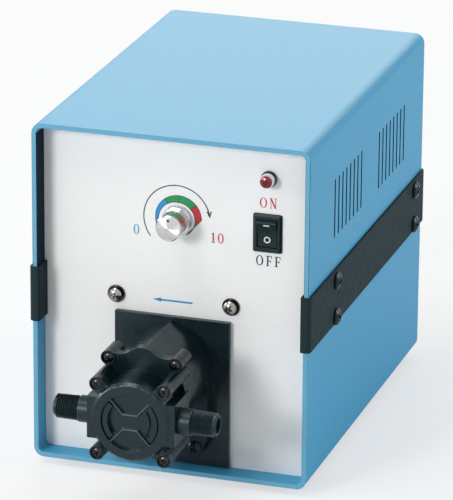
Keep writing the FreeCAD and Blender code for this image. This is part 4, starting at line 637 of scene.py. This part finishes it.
def moved(tree, geometry, **turns):
    """The geometry carried by a Translation and turned by a Rotation."""
    return add(tree, "GeometryNodeTransform", {"Geometry": geometry, **turns})[0]


def close_tree(tree, geometry, finish_in):
    """Realize the instances, set the finish and end the tree."""
    real = add(tree, "GeometryNodeRealizeInstances", {"Geometry": geometry})[0]
    painted = add(tree, "GeometryNodeSetMaterial", {"Geometry": real, "Material": finish_in})[0]
    add(tree, "NodeGroupOutput", {"Geometry": painted})
    print("the tree", tree.name, "has", len(tree.nodes), "nodes")
    return tree


def grown(name, tree, points, material, **sizes):
    """Run a tree on loose points and return the plain mesh that it makes."""
    seeds = bpy.data.meshes.new(name + "_points")
    seeds.from_pydata(points, [], [])
    holder = put(name + "_holder", seeds)
    modifier = holder.modifiers.new("grow", "NODES")
    modifier.node_group = tree
    sizes["Finish"] = material
    for item in tree.interface.items_tree:
        if item.in_out == "INPUT" and item.name in sizes:
            modifier[item.identifier] = sizes[item.name]
    mesh = baked(holder, name)
    mesh.shade_smooth()
    mesh.set_sharp_from_angle(angle=SHARP)
    return mesh


# %% [markdown]
# The screw's tree starts from a disc with rings in its cap, lifts the rings into a dome, cuts a
# cross out of it with a Boolean and adds the shank. It puts one screw on each point it is given,
# turned by a seeded random angle, because no fitter leaves all the crosses the same way round.

# %% The cross-head screw tree
DOME_FALL = 0.86
ARM_LENGTH, ARM_WIDTH, ARM_DEPTH = 1.15, 0.26, 1.3
BASE_BAND = 0.2 * MM

tree, size_in = new_tree("cross_head_screws", {
    "Head Radius": 3.0 * MM, "Head Height": 2.0 * MM, "Shank Radius": 1.5 * MM,
    "Shank Length": 10.0 * MM, "Facing": (0.0, 0.0, 0.0), "Seed": 0.0})
radius_in, height_in, length_in = (
    size_in[label] for label in ("Head Radius", "Head Height", "Shank Length"))
disc = add(tree, "GeometryNodeMeshCylinder", {
    "Vertices": 40, "Side Segments": 1, "Fill Segments": 6, "Radius": radius_in,
    "Depth": height_in})["Mesh"]
half_height = calc(tree, "MULTIPLY", height_in, 0.5)
raised = moved(tree, disc, Translation=xyz(tree, Z=half_height))
position = add(tree, "GeometryNodeInputPosition")[0]
where = add(tree, "ShaderNodeSeparateXYZ", {"Vector": position})
x_squared = calc(tree, "MULTIPLY", where["X"], where["X"])
y_squared = calc(tree, "MULTIPLY", where["Y"], where["Y"])
rim_squared = calc(tree, "MULTIPLY", radius_in, radius_in)
across = calc(tree, "DIVIDE", calc(tree, "ADD", x_squared, y_squared), rim_squared)
fall = calc(tree, "MULTIPLY", across, DOME_FALL)
dome = calc(tree, "SQRT", calc(tree, "SUBTRACT", 1.0, fall))
level = calc(tree, "MULTIPLY", height_in, dome)
domed = add(tree, "GeometryNodeSetPosition", {
    "Geometry": raised, "Selection": calc(tree, "GREATER_THAN", where["Z"], BASE_BAND),
    "Position": xyz(tree, X=where["X"], Y=where["Y"], Z=level)})[0]
arms = []
for long_side, short_side in ((ARM_LENGTH, ARM_WIDTH), (ARM_WIDTH, ARM_LENGTH)):
    arm_size = xyz(tree, X=calc(tree, "MULTIPLY", radius_in, long_side),
                   Y=calc(tree, "MULTIPLY", radius_in, short_side),
                   Z=calc(tree, "MULTIPLY", height_in, ARM_DEPTH))
    arm = add(tree, "GeometryNodeMeshCube", {"Size": arm_size})["Mesh"]
    arms.append(moved(tree, arm, Translation=xyz(tree, Z=height_in)))
headed = add(tree, "GeometryNodeMeshBoolean", {
    "Mesh 1": domed, "Mesh 2": arms}, operation="DIFFERENCE")["Mesh"]
shank = add(tree, "GeometryNodeMeshCylinder", {
    "Vertices": 24, "Radius": size_in["Shank Radius"], "Depth": length_in})["Mesh"]
half_down = calc(tree, "MULTIPLY", length_in, -0.5)
sunk = moved(tree, shank, Translation=xyz(tree, Z=half_down))
whole = add(tree, "GeometryNodeJoinGeometry", {"Geometry": [headed, sunk]})[0]
spread = add(tree, "GeometryNodeInstanceOnPoints", {
    "Points": size_in["Geometry"], "Instance": whole, "Rotation": size_in["Facing"]})[0]
angle = add(tree, "FunctionNodeRandomValue", {
    2: 0.0, 3: math.pi / 2, 8: size_in["Seed"]}, data_type="FLOAT")[1]
turned_spread = add(tree, "GeometryNodeRotateInstances", {
    "Instances": spread, "Rotation": xyz(tree, Z=angle)})[0]
screw_tree = close_tree(tree, turned_spread, size_in["Finish"])

# %% [markdown]
# The screws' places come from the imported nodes: a group's box, less the head's radius, gives
# the corners at which its screws stand. Each group keeps the height of its CAD heads, so it
# stays where it was. Two groups of the pump head have slightly smaller heads here, so their
# places still use the CAD radius. The rails' screws face outwards at both sides of the case.

# %% Helpers for the screws
FACINGS = {"-x": (0.0, -math.pi / 2, 0.0), "x": (0.0, math.pi / 2, 0.0),
           "-y": (math.pi / 2, 0.0, 0.0), "-z": (math.pi, 0.0, 0.0)}
CAD_HEADS = {"cover_screws": 3.0 * MM, "flange_screws": 3.0 * MM}
ONE_SCREW = 2.2


def ends(low, high, radius):
    """The places along one axis: one in the middle, or one at each end."""
    if high - low < ONE_SCREW * radius:
        return [(low + high) / 2]
    return [low + radius, high - radius]


def screw_points(node, facing, radius, head):
    """Where the undersides of a group's heads are, and how deep the group reaches from there."""
    low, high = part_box(node)
    axis = "xyz".index(facing[-1])
    radius = CAD_HEADS.get(node, radius)
    places = [ends(low[i], high[i], radius) for i in range(3)]
    places[axis] = [high[axis] - head if facing == "x" else low[axis] + head]
    points = [(x, y, z) for x in places[0] for y in places[1] for z in places[2]]
    return points, high[axis] - low[axis] - head


def merged(name, meshes):
    """One mesh out of several, all of one finish."""
    shape = bmesh.new()
    for mesh in meshes:
        shape.from_mesh(mesh)
    for face in shape.faces:
        face.material_index = 0
    return as_mesh(shape, name)


# %% [markdown]
# Each group has the ways it faces, its head's radius and height, and its shank's radius, all
# read off the photograph or, underneath, chosen to suit. The small screws of the head are
# darker than the bright pair on the panel.

# %% Place the screws
SCREWS = {
    "rail_screws": (("-x", "x"), 4.7, 2.7, 2.0), "panel_screws": (("-y",), 3.6, 2.5, 2.0),
    "cover_screws": (("-y",), 2.7, 1.5, 1.5), "flange_screws": (("-y",), 2.7, 1.5, 1.5),
    "housing_screws": (("-y",), 3.8, 2.6, 2.0), "foot_screws": (("-z",), 2.9, 1.6, 1.5),
    "panel_floor_screws": (("-z",), 2.7, 1.7, 1.5),
}
RAIL_SHANK = 5.8 * MM
screw_finishes = {node: finishes[slot_of_node[node]] for node in SCREWS}
for node in CAD_HEADS:
    screw_finishes[node] = finishes["dark_nickel"]
for node, (facings, radius, head, shank_radius) in SCREWS.items():
    meshes = []
    for facing in facings:
        points, reach = screw_points(node, facing, radius * MM, head * MM)
        meshes.append(grown(node, screw_tree, points, screw_finishes[node], **{
            "Head Radius": radius * MM, "Head Height": head * MM,
            "Shank Radius": shank_radius * MM,
            "Shank Length": RAIL_SHANK if node == "rail_screws" else reach,
            "Facing": FACINGS[facing], "Seed": radius}))
    piece = place_piece(node + "_cross_head", merged(node, meshes), body_of_node[node],
                        screw_finishes[node])
    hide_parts(node)
    print(node, "has", len(piece.data.polygons), "faces")

# %% [markdown]
# Nipples, the knob, the lens and washers are all turned on a lathe or moulded round an axis.
# A Screw modifier could spin their outline, but a small function is just as short, closes the
# shape and sets it in place at once. It carries a few radius and height pairs round the axis.

# %% Turned pieces
FULL_TURN = 2 * math.pi
TOUCHING = 1e-7


def lathe(name, profile, place, turn_to, segments=64, phase=0.0, sweep=FULL_TURN):
    """A closed mesh from radius and height pairs in millimetres, turned and set in place."""
    shape = bmesh.new()
    full = math.isclose(sweep, FULL_TURN)
    count = segments if full else segments + 1
    angles = [phase + sweep * i / segments for i in range(count)]
    rings = [[shape.verts.new((radius * MM * math.cos(angle), radius * MM * math.sin(angle),
                               height * MM)) for angle in angles]
             for radius, height in profile]
    for row, (near, far) in enumerate(zip(rings, rings[1:] + rings[:1])):
        if profile[row][0] == profile[(row + 1) % len(profile)][0] == 0:
            continue
        for i in range(segments):
            j = (i + 1) % count
            shape.faces.new((near[i], near[j], far[j], far[i]))
    if not full:
        shape.faces.new([ring[0] for ring in rings])
        shape.faces.new([ring[-1] for ring in reversed(rings)])
    bmesh.ops.remove_doubles(shape, verts=shape.verts, dist=TOUCHING)
    bmesh.ops.dissolve_degenerate(shape, edges=shape.edges, dist=TOUCHING)
    bmesh.ops.recalc_face_normals(shape, faces=shape.faces)
    mesh = as_mesh(shape, name)
    mesh.transform(Matrix.Translation(place) @ Euler(turn_to).to_matrix().to_4x4())
    mesh.shade_smooth()
    mesh.set_sharp_from_angle(angle=SHARP)
    return mesh


# %% [markdown]
# Each port ends in a tapered pipe thread, R 1/4, with nineteen threads to the inch. Rings side
# by side would look right from afar, but a real thread climbs, and it follows a rule. So a tree
# sweeps a diamond section along a spiral that narrows as it rises: half of the diamond sinks
# into the core, and half stands out.

# %% The thread tree
tree, size_in = new_tree("pipe_thread", {
    "Inner Radius": 5.9 * MM, "Outer Radius": 5.7 * MM, "Turns": 9.0, "Length": 12.0 * MM,
    "Depth": 1.72 * MM, "Half Pitch": 0.64 * MM, "Place": (0.0, 0.0, 0.0),
    "Facing": (0.0, 0.0, 0.0)})
spiral = add(tree, "GeometryNodeCurveSpiral", {
    "Resolution": 48, "Rotations": size_in["Turns"], "Start Radius": size_in["Inner Radius"],
    "End Radius": size_in["Outer Radius"], "Height": size_in["Length"]})[0]
upright = add(tree, "GeometryNodeSetCurveNormal", {"Curve": spiral}, mode="Z_UP")[0]
section = add(tree, "GeometryNodeCurvePrimitiveQuadrilateral", {
    "Width": size_in["Depth"], "Bottom Height": size_in["Half Pitch"],
    "Top Height": size_in["Half Pitch"]}, mode="KITE")[0]
ridge = add(tree, "GeometryNodeCurveToMesh", {
    "Curve": upright, "Profile Curve": section, "Fill Caps": True})[0]
in_place = moved(tree, ridge, Translation=size_in["Place"], Rotation=size_in["Facing"])
thread_tree = close_tree(tree, in_place, size_in["Finish"])

# %% [markdown]
# The nipple under the thread is one turned outline: a stub in the pump's body, a collar, the
# tapering core and a bevelled mouth. Both ports share it and look away from each other, and
# each one's place comes from the box of its node.

# %% Ports with pipe threads
PITCH = 25.4 / 19
BORE, STUB, COLLAR = 4.1, 4.9, 7.0
STUB_END, NECK_END, PORT_END = -3.2, 6.8, 20.2
CORE, TAPER = 5.72, 0.25
THREAD_GAP, THREAD_LENGTH = 0.4, PORT_END - NECK_END - 1.3
port_profile = [
    (BORE, STUB_END), (STUB, STUB_END), (STUB, 0.0), (COLLAR - 0.3, 0.0), (COLLAR, 0.3),
    (COLLAR, NECK_END - 0.4), (COLLAR - 0.4, NECK_END), (CORE, NECK_END),
    (CORE - TAPER, PORT_END - 0.7), (CORE - TAPER - 0.6, PORT_END), (BORE + 0.3, PORT_END),
    (BORE, PORT_END - 0.3)]
for node, side in (("inlet_port", 1), ("outlet_port", -1)):
    low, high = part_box(node)
    mouth = high.x if side > 0 else low.x
    foot = (mouth - side * PORT_END * MM, (low.y + high.y) / 2, (low.z + high.z) / 2)
    facing = FACINGS["x" if side > 0 else "-x"]
    nipple = lathe(node, port_profile, foot, facing)
    start = (foot[0] + side * (NECK_END + THREAD_GAP) * MM, foot[1], foot[2])
    thread = grown(node + "_thread", thread_tree, [(0, 0, 0)], finishes["port"], **{
        "Inner Radius": CORE * MM, "Outer Radius": (CORE - TAPER) * MM,
        "Turns": THREAD_LENGTH / PITCH, "Length": THREAD_LENGTH * MM, "Place": start,
        "Facing": facing})
    piece = place_piece(node + "_threaded", merged(node, [nipple, thread]), "housing",
                        finishes["port"])
    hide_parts(node)
    print(node, "has", round(THREAD_LENGTH / PITCH, 1), "turns of thread")

# %% [markdown]
# The speed knob is turned aluminium with a knurled waist. A bump map could hint at the knurl,
# but its outline would stay smooth. So a tree stands seventy-two ribs round a circle, each a
# four-sided rod, corner outwards, flattened until it stands out less than a tenth of a
# millimetre.

# %% The knurl tree
tree, size_in = new_tree("straight_knurl", {
    "Ribs": 72.0, "Circle": 6.65 * MM, "Rib": 0.24 * MM, "Flatten": (0.35, 1.0, 1.0),
    "Length": 10.0 * MM, "Start": 3.0 * MM, "Place": (0.0, 0.0, 0.0),
    "Facing": (0.0, 0.0, 0.0)})
circle = add(tree, "GeometryNodeMeshCircle", {
    "Vertices": size_in["Ribs"], "Radius": size_in["Circle"]})[0]
outwards = add(tree, "FunctionNodeAlignRotationToVector", {
    "Vector": add(tree, "GeometryNodeInputPosition")[0]}, axis="X")[0]
rib = add(tree, "GeometryNodeMeshCylinder", {
    "Vertices": 4, "Radius": size_in["Rib"], "Depth": size_in["Length"]})["Mesh"]
ribs = add(tree, "GeometryNodeInstanceOnPoints", {
    "Points": circle, "Instance": rib, "Rotation": outwards, "Scale": size_in["Flatten"]})[0]
half_length = calc(tree, "MULTIPLY", size_in["Length"], 0.5)
rib_middle = calc(tree, "ADD", size_in["Start"], half_length)
lifted = moved(tree, ribs, Translation=xyz(tree, Z=rib_middle))
in_place = moved(tree, lifted, Translation=size_in["Place"], Rotation=size_in["Facing"])
knurl_tree = close_tree(tree, in_place, size_in["Finish"])

# %% [markdown]
# The knob's body is one turned outline: the bore for the dial's shaft, a skirt, the waist and
# a raised rim round the face. The spun face is a thin disc of its own, because its grooves
# need another finish, and the dot near its edge shows the setting.

# %% Speed knob
KNOB_SIDES, FACE, FACE_TOP = 96, 6.0, 14.74
DOT, DOT_UP, DOT_DEPTH, DOT_SIDES = 0.74, 4.3, 0.06, 24
low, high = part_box("speed_knob")
knob_spot = ((low.x + high.x) / 2, high.y, (low.z + high.z) / 2)
knob_profile = [
    (3.04, 3.6), (6.0, 3.6), (6.0, 0.0), (7.6, 0.0), (7.9, 0.3), (7.9, 1.7), (7.5, 2.2),
    (6.8, 2.2), (6.65, 2.4), (6.65, 13.0), (6.9, 13.2), (6.9, 14.3), (6.4, 14.8), (6.15, 14.8),
    (6.05, 14.6), (0.0, 14.6), (0.0, 10.5), (3.04, 10.5)]
body = lathe("speed_knob", knob_profile, knob_spot, FACINGS["-y"], KNOB_SIDES)
waist = grown("knob_knurl", knurl_tree, [(0, 0, 0)], finishes["knob_metal"], **{
    "Length": 10.2 * MM, "Start": 2.7 * MM, "Place": knob_spot, "Facing": FACINGS["-y"]})
knob = place_piece("speed_knob_turned", merged("speed_knob_turned", [body, waist]),
                   "speed_dial", finishes["knob_metal"])
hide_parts("speed_knob")
face_profile = [(0.0, 14.5), (FACE, 14.5), (FACE, 14.7), (FACE - 0.1, FACE_TOP), (0.0, FACE_TOP)]
spun_face = lathe("knob_face", face_profile, knob_spot, FACINGS["-y"], KNOB_SIDES)
place_piece("knob_face", spun_face, "speed_dial", finishes["spun_face"])
dot_spot = (knob_spot[0], low.y + DOT_DEPTH * MM, knob_spot[2] + DOT_UP * MM)
dot_profile = [(0.0, -0.05), (DOT, -0.05), (DOT, 0.04), (0.0, 0.04)]
dot = lathe("dial_dot", dot_profile, dot_spot, FACINGS["-y"], DOT_SIDES)
place_piece("dial_dot", dot, "speed_dial", inks["black"])
print("the knob has", len(knob.data.polygons), "faces")

# %% [markdown]
# The marks on the panel are screen printed: a film of ink about a twentieth of a millimetre
# thick. An image would blur when the camera comes close, so each mark is a real thin solid,
# drawn as strips between two rows of points. A straight stroke is the shortest strip, a ring
# is a closed one, and a band that narrows along its arc has an inner radius that changes.

# %% Helpers for printed marks
INK = 0.05
ARC_STEPS, OVAL_STEPS = 24, 40
PANEL_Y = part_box("front_panel")[0].y / MM


def flat_level(x, z):
    """The y of the panel's face, which is the same everywhere."""
    return PANEL_Y


def printed(name, strips, ink, body="housing", level=flat_level):
    """Thin closed strips of ink on a surface whose y is given by a level."""
    shape = bmesh.new()
    for outer, inner, closed in strips:
        rows = [[shape.verts.new((x * MM, (level(x, z) + lift) * MM, z * MM)) for x, z in points]
                for points, lift in ((outer, -INK), (inner, -INK), (inner, INK / 2),
                                     (outer, INK / 2))]
        count = len(outer)
        for i in range(count if closed else count - 1):
            j = (i + 1) % count
            for near, far in zip(rows, rows[1:] + rows[:1]):
                shape.faces.new((near[i], near[j], far[j], far[i]))
        if not closed:
            for end in (0, -1):
                shape.faces.new([row[end] for row in rows])
    bmesh.ops.recalc_face_normals(shape, faces=shape.faces)
    place_piece(name, as_mesh(shape, name), body, ink)
    print(name, "has", len(strips), "strips")


def stroke(x0, z0, x1, z1, width, end_width=None):
    """A straight strip between two points, which may end at another width."""
    length = math.hypot(x1 - x0, z1 - z0)
    aside = (-(z1 - z0) / length / 2, (x1 - x0) / length / 2)
    far = width if end_width is None else end_width
    sides = [[(x0 + sign * aside[0] * width, z0 + sign * aside[1] * width),
              (x1 + sign * aside[0] * far, z1 + sign * aside[1] * far)] for sign in (1, -1)]
    return sides[0], sides[1], False


def on_circle(center, radius, degrees):
    """The point of a circle at an angle, counted from its right side."""
    angle = math.radians(degrees)
    return center[0] + radius * math.cos(angle), center[1] + radius * math.sin(angle)


def arc(center, start, end, outer, inner, steps=ARC_STEPS):
    """A strip along an arc. Each radius is a pair, at the arc's start and at its end."""
    rows = [[on_circle(center, first + (last - first) * i / steps,
                       start + (end - start) * i / steps) for i in range(steps + 1)]
            for first, last in (outer, inner)]
    return rows[0], rows[1], False


def oval(x, z, width, height, side, top):
    """A ring that is one width at its sides and another at its top."""
    angles = [FULL_TURN * i / OVAL_STEPS for i in range(OVAL_STEPS)]
    outer, inner = ([(x + across * math.cos(a), z + up * math.sin(a)) for a in angles]
                    for across, up in ((width / 2, height / 2),
                                       (width / 2 - side, height / 2 - top)))
    return outer, inner, True


print("the panel's face is at y =", round(PANEL_Y, 2), "mm")

# %% [markdown]
# The dial's two ends carry the plain figures 0 and 10, and the switch the words ON and OFF.
# A font would need a file, and its outlines are hard to keep closed. Serif letters are only a
# few thick and thin strokes, so each sign is a short list of strips from its lower left corner.

# %% Letters and figures
CAP, THICK, THIN, LETTER_GAP = 5.4, 0.80, 0.36, 1.5
SIGNS = {
    "O": (3.9, [oval(1.95, CAP / 2, 3.9, CAP + 0.2, THICK, THIN)]),
    "0": (3.2, [oval(1.6, CAP / 2, 3.2, CAP + 0.2, THICK, THIN)]),
    "N": (3.7, [stroke(0.6, 0.0, 0.6, CAP, THIN), stroke(3.1, 0.0, 3.1, CAP, THIN),
                stroke(0.6, CAP, 3.1, 0.05, THICK), stroke(0.0, THIN / 2, 1.3, THIN / 2, THIN),
                stroke(2.4, CAP, 3.7, CAP, THIN), stroke(0.0, CAP, 0.7, CAP, THIN)]),
    "F": (3.1, [stroke(0.9, 0.0, 0.9, CAP, THICK), stroke(0.0, THIN / 2, 1.8, THIN / 2, THIN),
                stroke(0.0, CAP, 3.0, CAP, THIN), stroke(0.9, 2.75, 2.4, 2.75, THIN),
                stroke(2.9, CAP, 3.0, CAP - 1.2, THIN), stroke(2.4, 2.1, 2.4, 3.4, THIN)]),
    "1": (1.9, [stroke(0.95, 0.0, 0.95, CAP, THICK), stroke(0.0, THIN / 2, 1.9, THIN / 2, THIN),
                stroke(0.0, CAP - 0.9, 0.9, CAP - 0.1, THIN)]),
}
WORDS = {
    "print_on": ("ON", 44.8, 152.4, "crimson"), "print_off": ("OFF", 43.1, 120.9, "navy"),
    "print_low_end": ("0", -23.4, 130.3, "sky"), "print_high_end": ("10", 19.0, 130.3, "crimson"),
}


def word(signs, x, z):
    """The strips of a word whose lower left corner is given."""
    strips = []
    for sign in signs:
        width, shapes = SIGNS[sign]
        for outer, inner, closed in shapes:
            outer, inner = ([(x + u, z + v) for u, v in points] for points in (outer, inner))
            strips.append((outer, inner, closed))
        x += width + LETTER_GAP
    return strips


for name, (signs, x, z, ink) in WORDS.items():
    printed(name, word(signs, x, z), inks[ink])

# %% [markdown]
# The speed scale round the knob grows wider as the speed rises: a blue sliver, two green bands
# and a red one. Its inner edge is not a circle, so each stop has an inner radius of its own.
# The red band's outer edge leaves the circle just above the horizontal and runs straight to
# the last stop.

# %% The speed scale
SCALE, RIM, ROUND_END = (1.1, 141.3), 12.5, 1.8
INNER = {196: 11.3, 127: 9.6, 90: 8.7, 41: 8.6, -63.7: 9.48}
STOPS = list(INNER)
FAST, LAST = STOPS[-2:]
HALF_STEPS = ARC_STEPS // 2
FLAT_END = on_circle(SCALE, INNER[LAST], LAST)


def band(start, end):
    """A band of the scale between two stops."""
    return arc(SCALE, start, end, (RIM, RIM), (INNER[start], INNER[end]))


curved = [on_circle(SCALE, RIM, FAST - (FAST - ROUND_END) * i / HALF_STEPS)
          for i in range(HALF_STEPS + 1)]
straight = [(curved[-1][0] + (FLAT_END[0] - curved[-1][0]) * i / HALF_STEPS,
             curved[-1][1] + (FLAT_END[1] - curved[-1][1]) * i / HALF_STEPS)
            for i in range(1, HALF_STEPS + 1)]
last_inner = band(FAST, LAST)[1]
printed("scale_slow", [band(196, 127)], inks["blue"])
printed("scale_middle", [band(127, 90), band(90, 41)], inks["green"])
printed("scale_fast", [(curved + straight, last_inner, False)], inks["red"])

# %% [markdown]
# A thin dark line edges the bands and parts them. It stands out half a film further than they
# do, so that it covers them instead of fighting for the same surface.

# %% The outline of the scale
LINE = 0.36
PARTING = 0.8 * LINE


def line_along(start, end, radii, steps=ARC_STEPS):
    """A thin line along an arc whose radius goes from one value to another."""
    outer, inner = ([radius + side * LINE / 2 for radius in radii] for side in (1, -1))
    return arc(SCALE, start, end, outer, inner, steps)


edge_lines = [line_along(STOPS[0], ROUND_END, (RIM, RIM), 3 * ARC_STEPS)]
for start, end in zip(STOPS, STOPS[1:]):
    edge_lines.append(line_along(start, end, (INNER[start], INNER[end])))
for degrees, width in ((127, PARTING), (90, PARTING), (41, PARTING), (196, LINE)):
    edge_lines.append(stroke(*on_circle(SCALE, INNER[degrees], degrees),
                             *on_circle(SCALE, RIM, degrees), width))
edge_lines.append(stroke(*curved[-1], *FLAT_END, LINE))
printed("scale_outline", edge_lines, inks["dark"], level=lambda x, z: PANEL_Y - INK / 2)

# %% [markdown]
# Two arrows: a fine one that curves round the scale the way the speed rises, with two barbs
# that narrow to its tip, and a straight blue one that shows which way the liquid flows.

# %% Arrows
TURN, TURN_RADIUS, TURN_HALF = (0.2, 141.2), 18.0, 0.29
TURN_START, TURN_END, TIP_ANGLE = 217.5, 9.7, 7.5
BARB, BARB_FACING, BARB_SPREAD, BARB_WIDTH, BARB_TIP = 3.6, 97, 17, 0.75, 0.3
FLOW_Z, FLOW_RIGHT, FLOW_NECK, FLOW_BACK, FLOW_TIP = 95.65, 8.9, -8.6, -8.2, -12.8
FLOW_WIDTH, FLOW_HEAD, FLOW_POINT = 0.95, 2.3, 0.1

tip = on_circle(TURN, TURN_RADIUS, TIP_ANGLE)
barbs = [stroke(*on_circle(tip, BARB, BARB_FACING + side), *tip, BARB_WIDTH, BARB_TIP)
         for side in (-BARB_SPREAD, BARB_SPREAD)]
turn_line = arc(TURN, TURN_START, TURN_END, [TURN_RADIUS + TURN_HALF] * 2,
                [TURN_RADIUS - TURN_HALF] * 2, 4 * ARC_STEPS)
flow_line = stroke(FLOW_RIGHT, FLOW_Z, FLOW_NECK, FLOW_Z, FLOW_WIDTH)
flow_head = stroke(FLOW_BACK, FLOW_Z, FLOW_TIP, FLOW_Z, FLOW_HEAD, FLOW_POINT)
printed("turn_arrow", [turn_line] + barbs, inks["dark"])
printed("flow_arrow", [flow_line, flow_head], inks["blue"])

# %% [markdown]
# The rocker carries a white bar at its ON end and a white ring at its OFF end. Its face leans,
# so a flat print would sink in or float. Each point of these marks finds its depth by a ray
# cast onto the CAD rocker instead, and the marks ride on the rocker's body.

# %% Marks on the rocker
from mathutils.bvhtree import BVHTree

BAR_HALF, BAR_UP, BAR_WIDTH = 1.6, 4.9, 0.75
RING_SIZE, RING_DOWN, RING_WIDTH = 3.5, 3.4, 0.62
IN_FRONT = -0.2
rocker_mesh = bmesh.new()
rocker_mesh.from_mesh(nodes["switch_rocker"].data)
rocker_rays = BVHTree.FromBMesh(rocker_mesh)


def rocker_level(x, z):
    """The y of the rocker's face at a point, in millimetres."""
    hit = rocker_rays.ray_cast(Vector((x * MM, IN_FRONT, z * MM)), Vector((0, 1, 0)))[0]
    return hit.y / MM


low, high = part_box("switch_rocker")
middle_x, middle_z = (low.x + high.x) / 2 / MM, (low.z + high.z) / 2 / MM
bar = stroke(middle_x - BAR_HALF, middle_z + BAR_UP, middle_x + BAR_HALF, middle_z + BAR_UP,
             BAR_WIDTH)
ring = oval(middle_x, middle_z - RING_DOWN, RING_SIZE, RING_SIZE, RING_WIDTH, RING_WIDTH)
printed("rocker_bar", [bar], inks["white"], "power_rocker", rocker_level)
printed("rocker_ring", [ring], inks["white"], "power_rocker", rocker_level)
rocker_mesh.free()

# %% [markdown]
# The pilot lamp has a dark bezel, a bright collar and a red plastic lens. The lens is moulded
# with facets, which break the light into dark and bright patches, so it is turned with few
# sides and shaded flat. The lamp isn't lit, and the nearly black middle of the lens is painted
# shade of the dark inside seen through it: the colour runs from there to red at the rim.

# %% Lamp lens
LENS_SIDES = 12
SHADE_WITHIN, RED_FROM = 1.0 * MM, 3.0 * MM
low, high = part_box("lamp_lens")
lamp_spot = ((low.x + high.x) / 2, PANEL_Y * MM, (low.z + high.z) / 2)
lens_tree = finishes["lamp_red"].node_tree
coordinates = add(lens_tree, "ShaderNodeTexCoord")["Object"]
centered = add(lens_tree, "ShaderNodeMapping", {
    "Vector": coordinates, "Location": (-lamp_spot[0], 0.0, -lamp_spot[2]),
    "Scale": (1.0, 0.0, 1.0)})["Vector"]
from_axis = add(lens_tree, "ShaderNodeVectorMath", {0: centered}, operation="LENGTH")["Value"]
to_rim = ramp(lens_tree, from_axis, 0.0, 1.0, SHADE_WITHIN, RED_FROM)
# Painted shade: near black in the middle, where the dark inside of the lamp shows through, and red at the
# rim.
red = blend_colors(lens_tree, to_rim, (0.030, 0.001, 0.003), (0.36, 0.006, 0.030))
feed(lens_tree.nodes["Principled BSDF"], {"Base Color": red})
lens_profile = [
    (0.0, -10.0), (2.9, -10.0), (2.9, 5.6), (3.25, 5.9), (3.25, 6.3), (2.6, 6.85), (1.5, 7.25),
    (0.0, 7.4)]
lens_mesh = lathe("lamp_lens", lens_profile, lamp_spot, FACINGS["-y"], LENS_SIDES)
lens_mesh.shade_flat()
lens_piece = place_piece("lamp_lens_faceted", lens_mesh, "housing", finishes["lamp_red"])
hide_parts("lamp_lens")
print("the lens has", len(lens_mesh.polygons), "facets")

# %% [markdown]
# The bright collar between the bezel and the lens is only a thin chromed ring. It mirrors the
# white studio, and that bright line makes the small lamp readable.

# %% Lamp collar
collar_profile = [(2.95, 2.2), (3.7, 2.2), (3.7, 5.5), (3.5, 5.85), (3.3, 5.9), (2.95, 5.6)]
collar = lathe("lamp_collar", collar_profile, lamp_spot, FACINGS["-y"])
place_piece("lamp_collar", collar, "housing", finishes["chrome"])
print("the collar has", len(collar.polygons), "faces")

# %% [markdown]
# Spring washers are rings of square wire, cut through once. The lathe makes them too: its
# sweep stops short of a full turn, and each washer starts at an angle of its own, so that the
# two cuts look different ways.

# %% Spring washers
OUTER, WIRE_SIDES = 3.4, 56
SWEEP = math.radians(346)
washer_profile = [
    (2.25, 0.1), (2.3, 0.0), (3.3, 0.0), (OUTER, 0.1), (OUTER, 0.9), (3.3, 1.0), (2.3, 1.0),
    (2.25, 0.9)]
low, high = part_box("spring_washers")
washers = [lathe("spring_washer", washer_profile, (x, high.y, (low.z + high.z) / 2),
                 FACINGS["-y"], WIRE_SIDES, start, SWEEP)
           for x, start in ((low.x + OUTER * MM, 0.9), (high.x - OUTER * MM, 2.4))]
springs = place_piece("spring_washers_split", merged("spring_washers_split", washers),
                      "housing", finishes["dark_nickel"])
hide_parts("spring_washers")
print("the spring washers have", len(springs.data.polygons), "faces")

# %% The bounds of the object
import json

low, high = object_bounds()
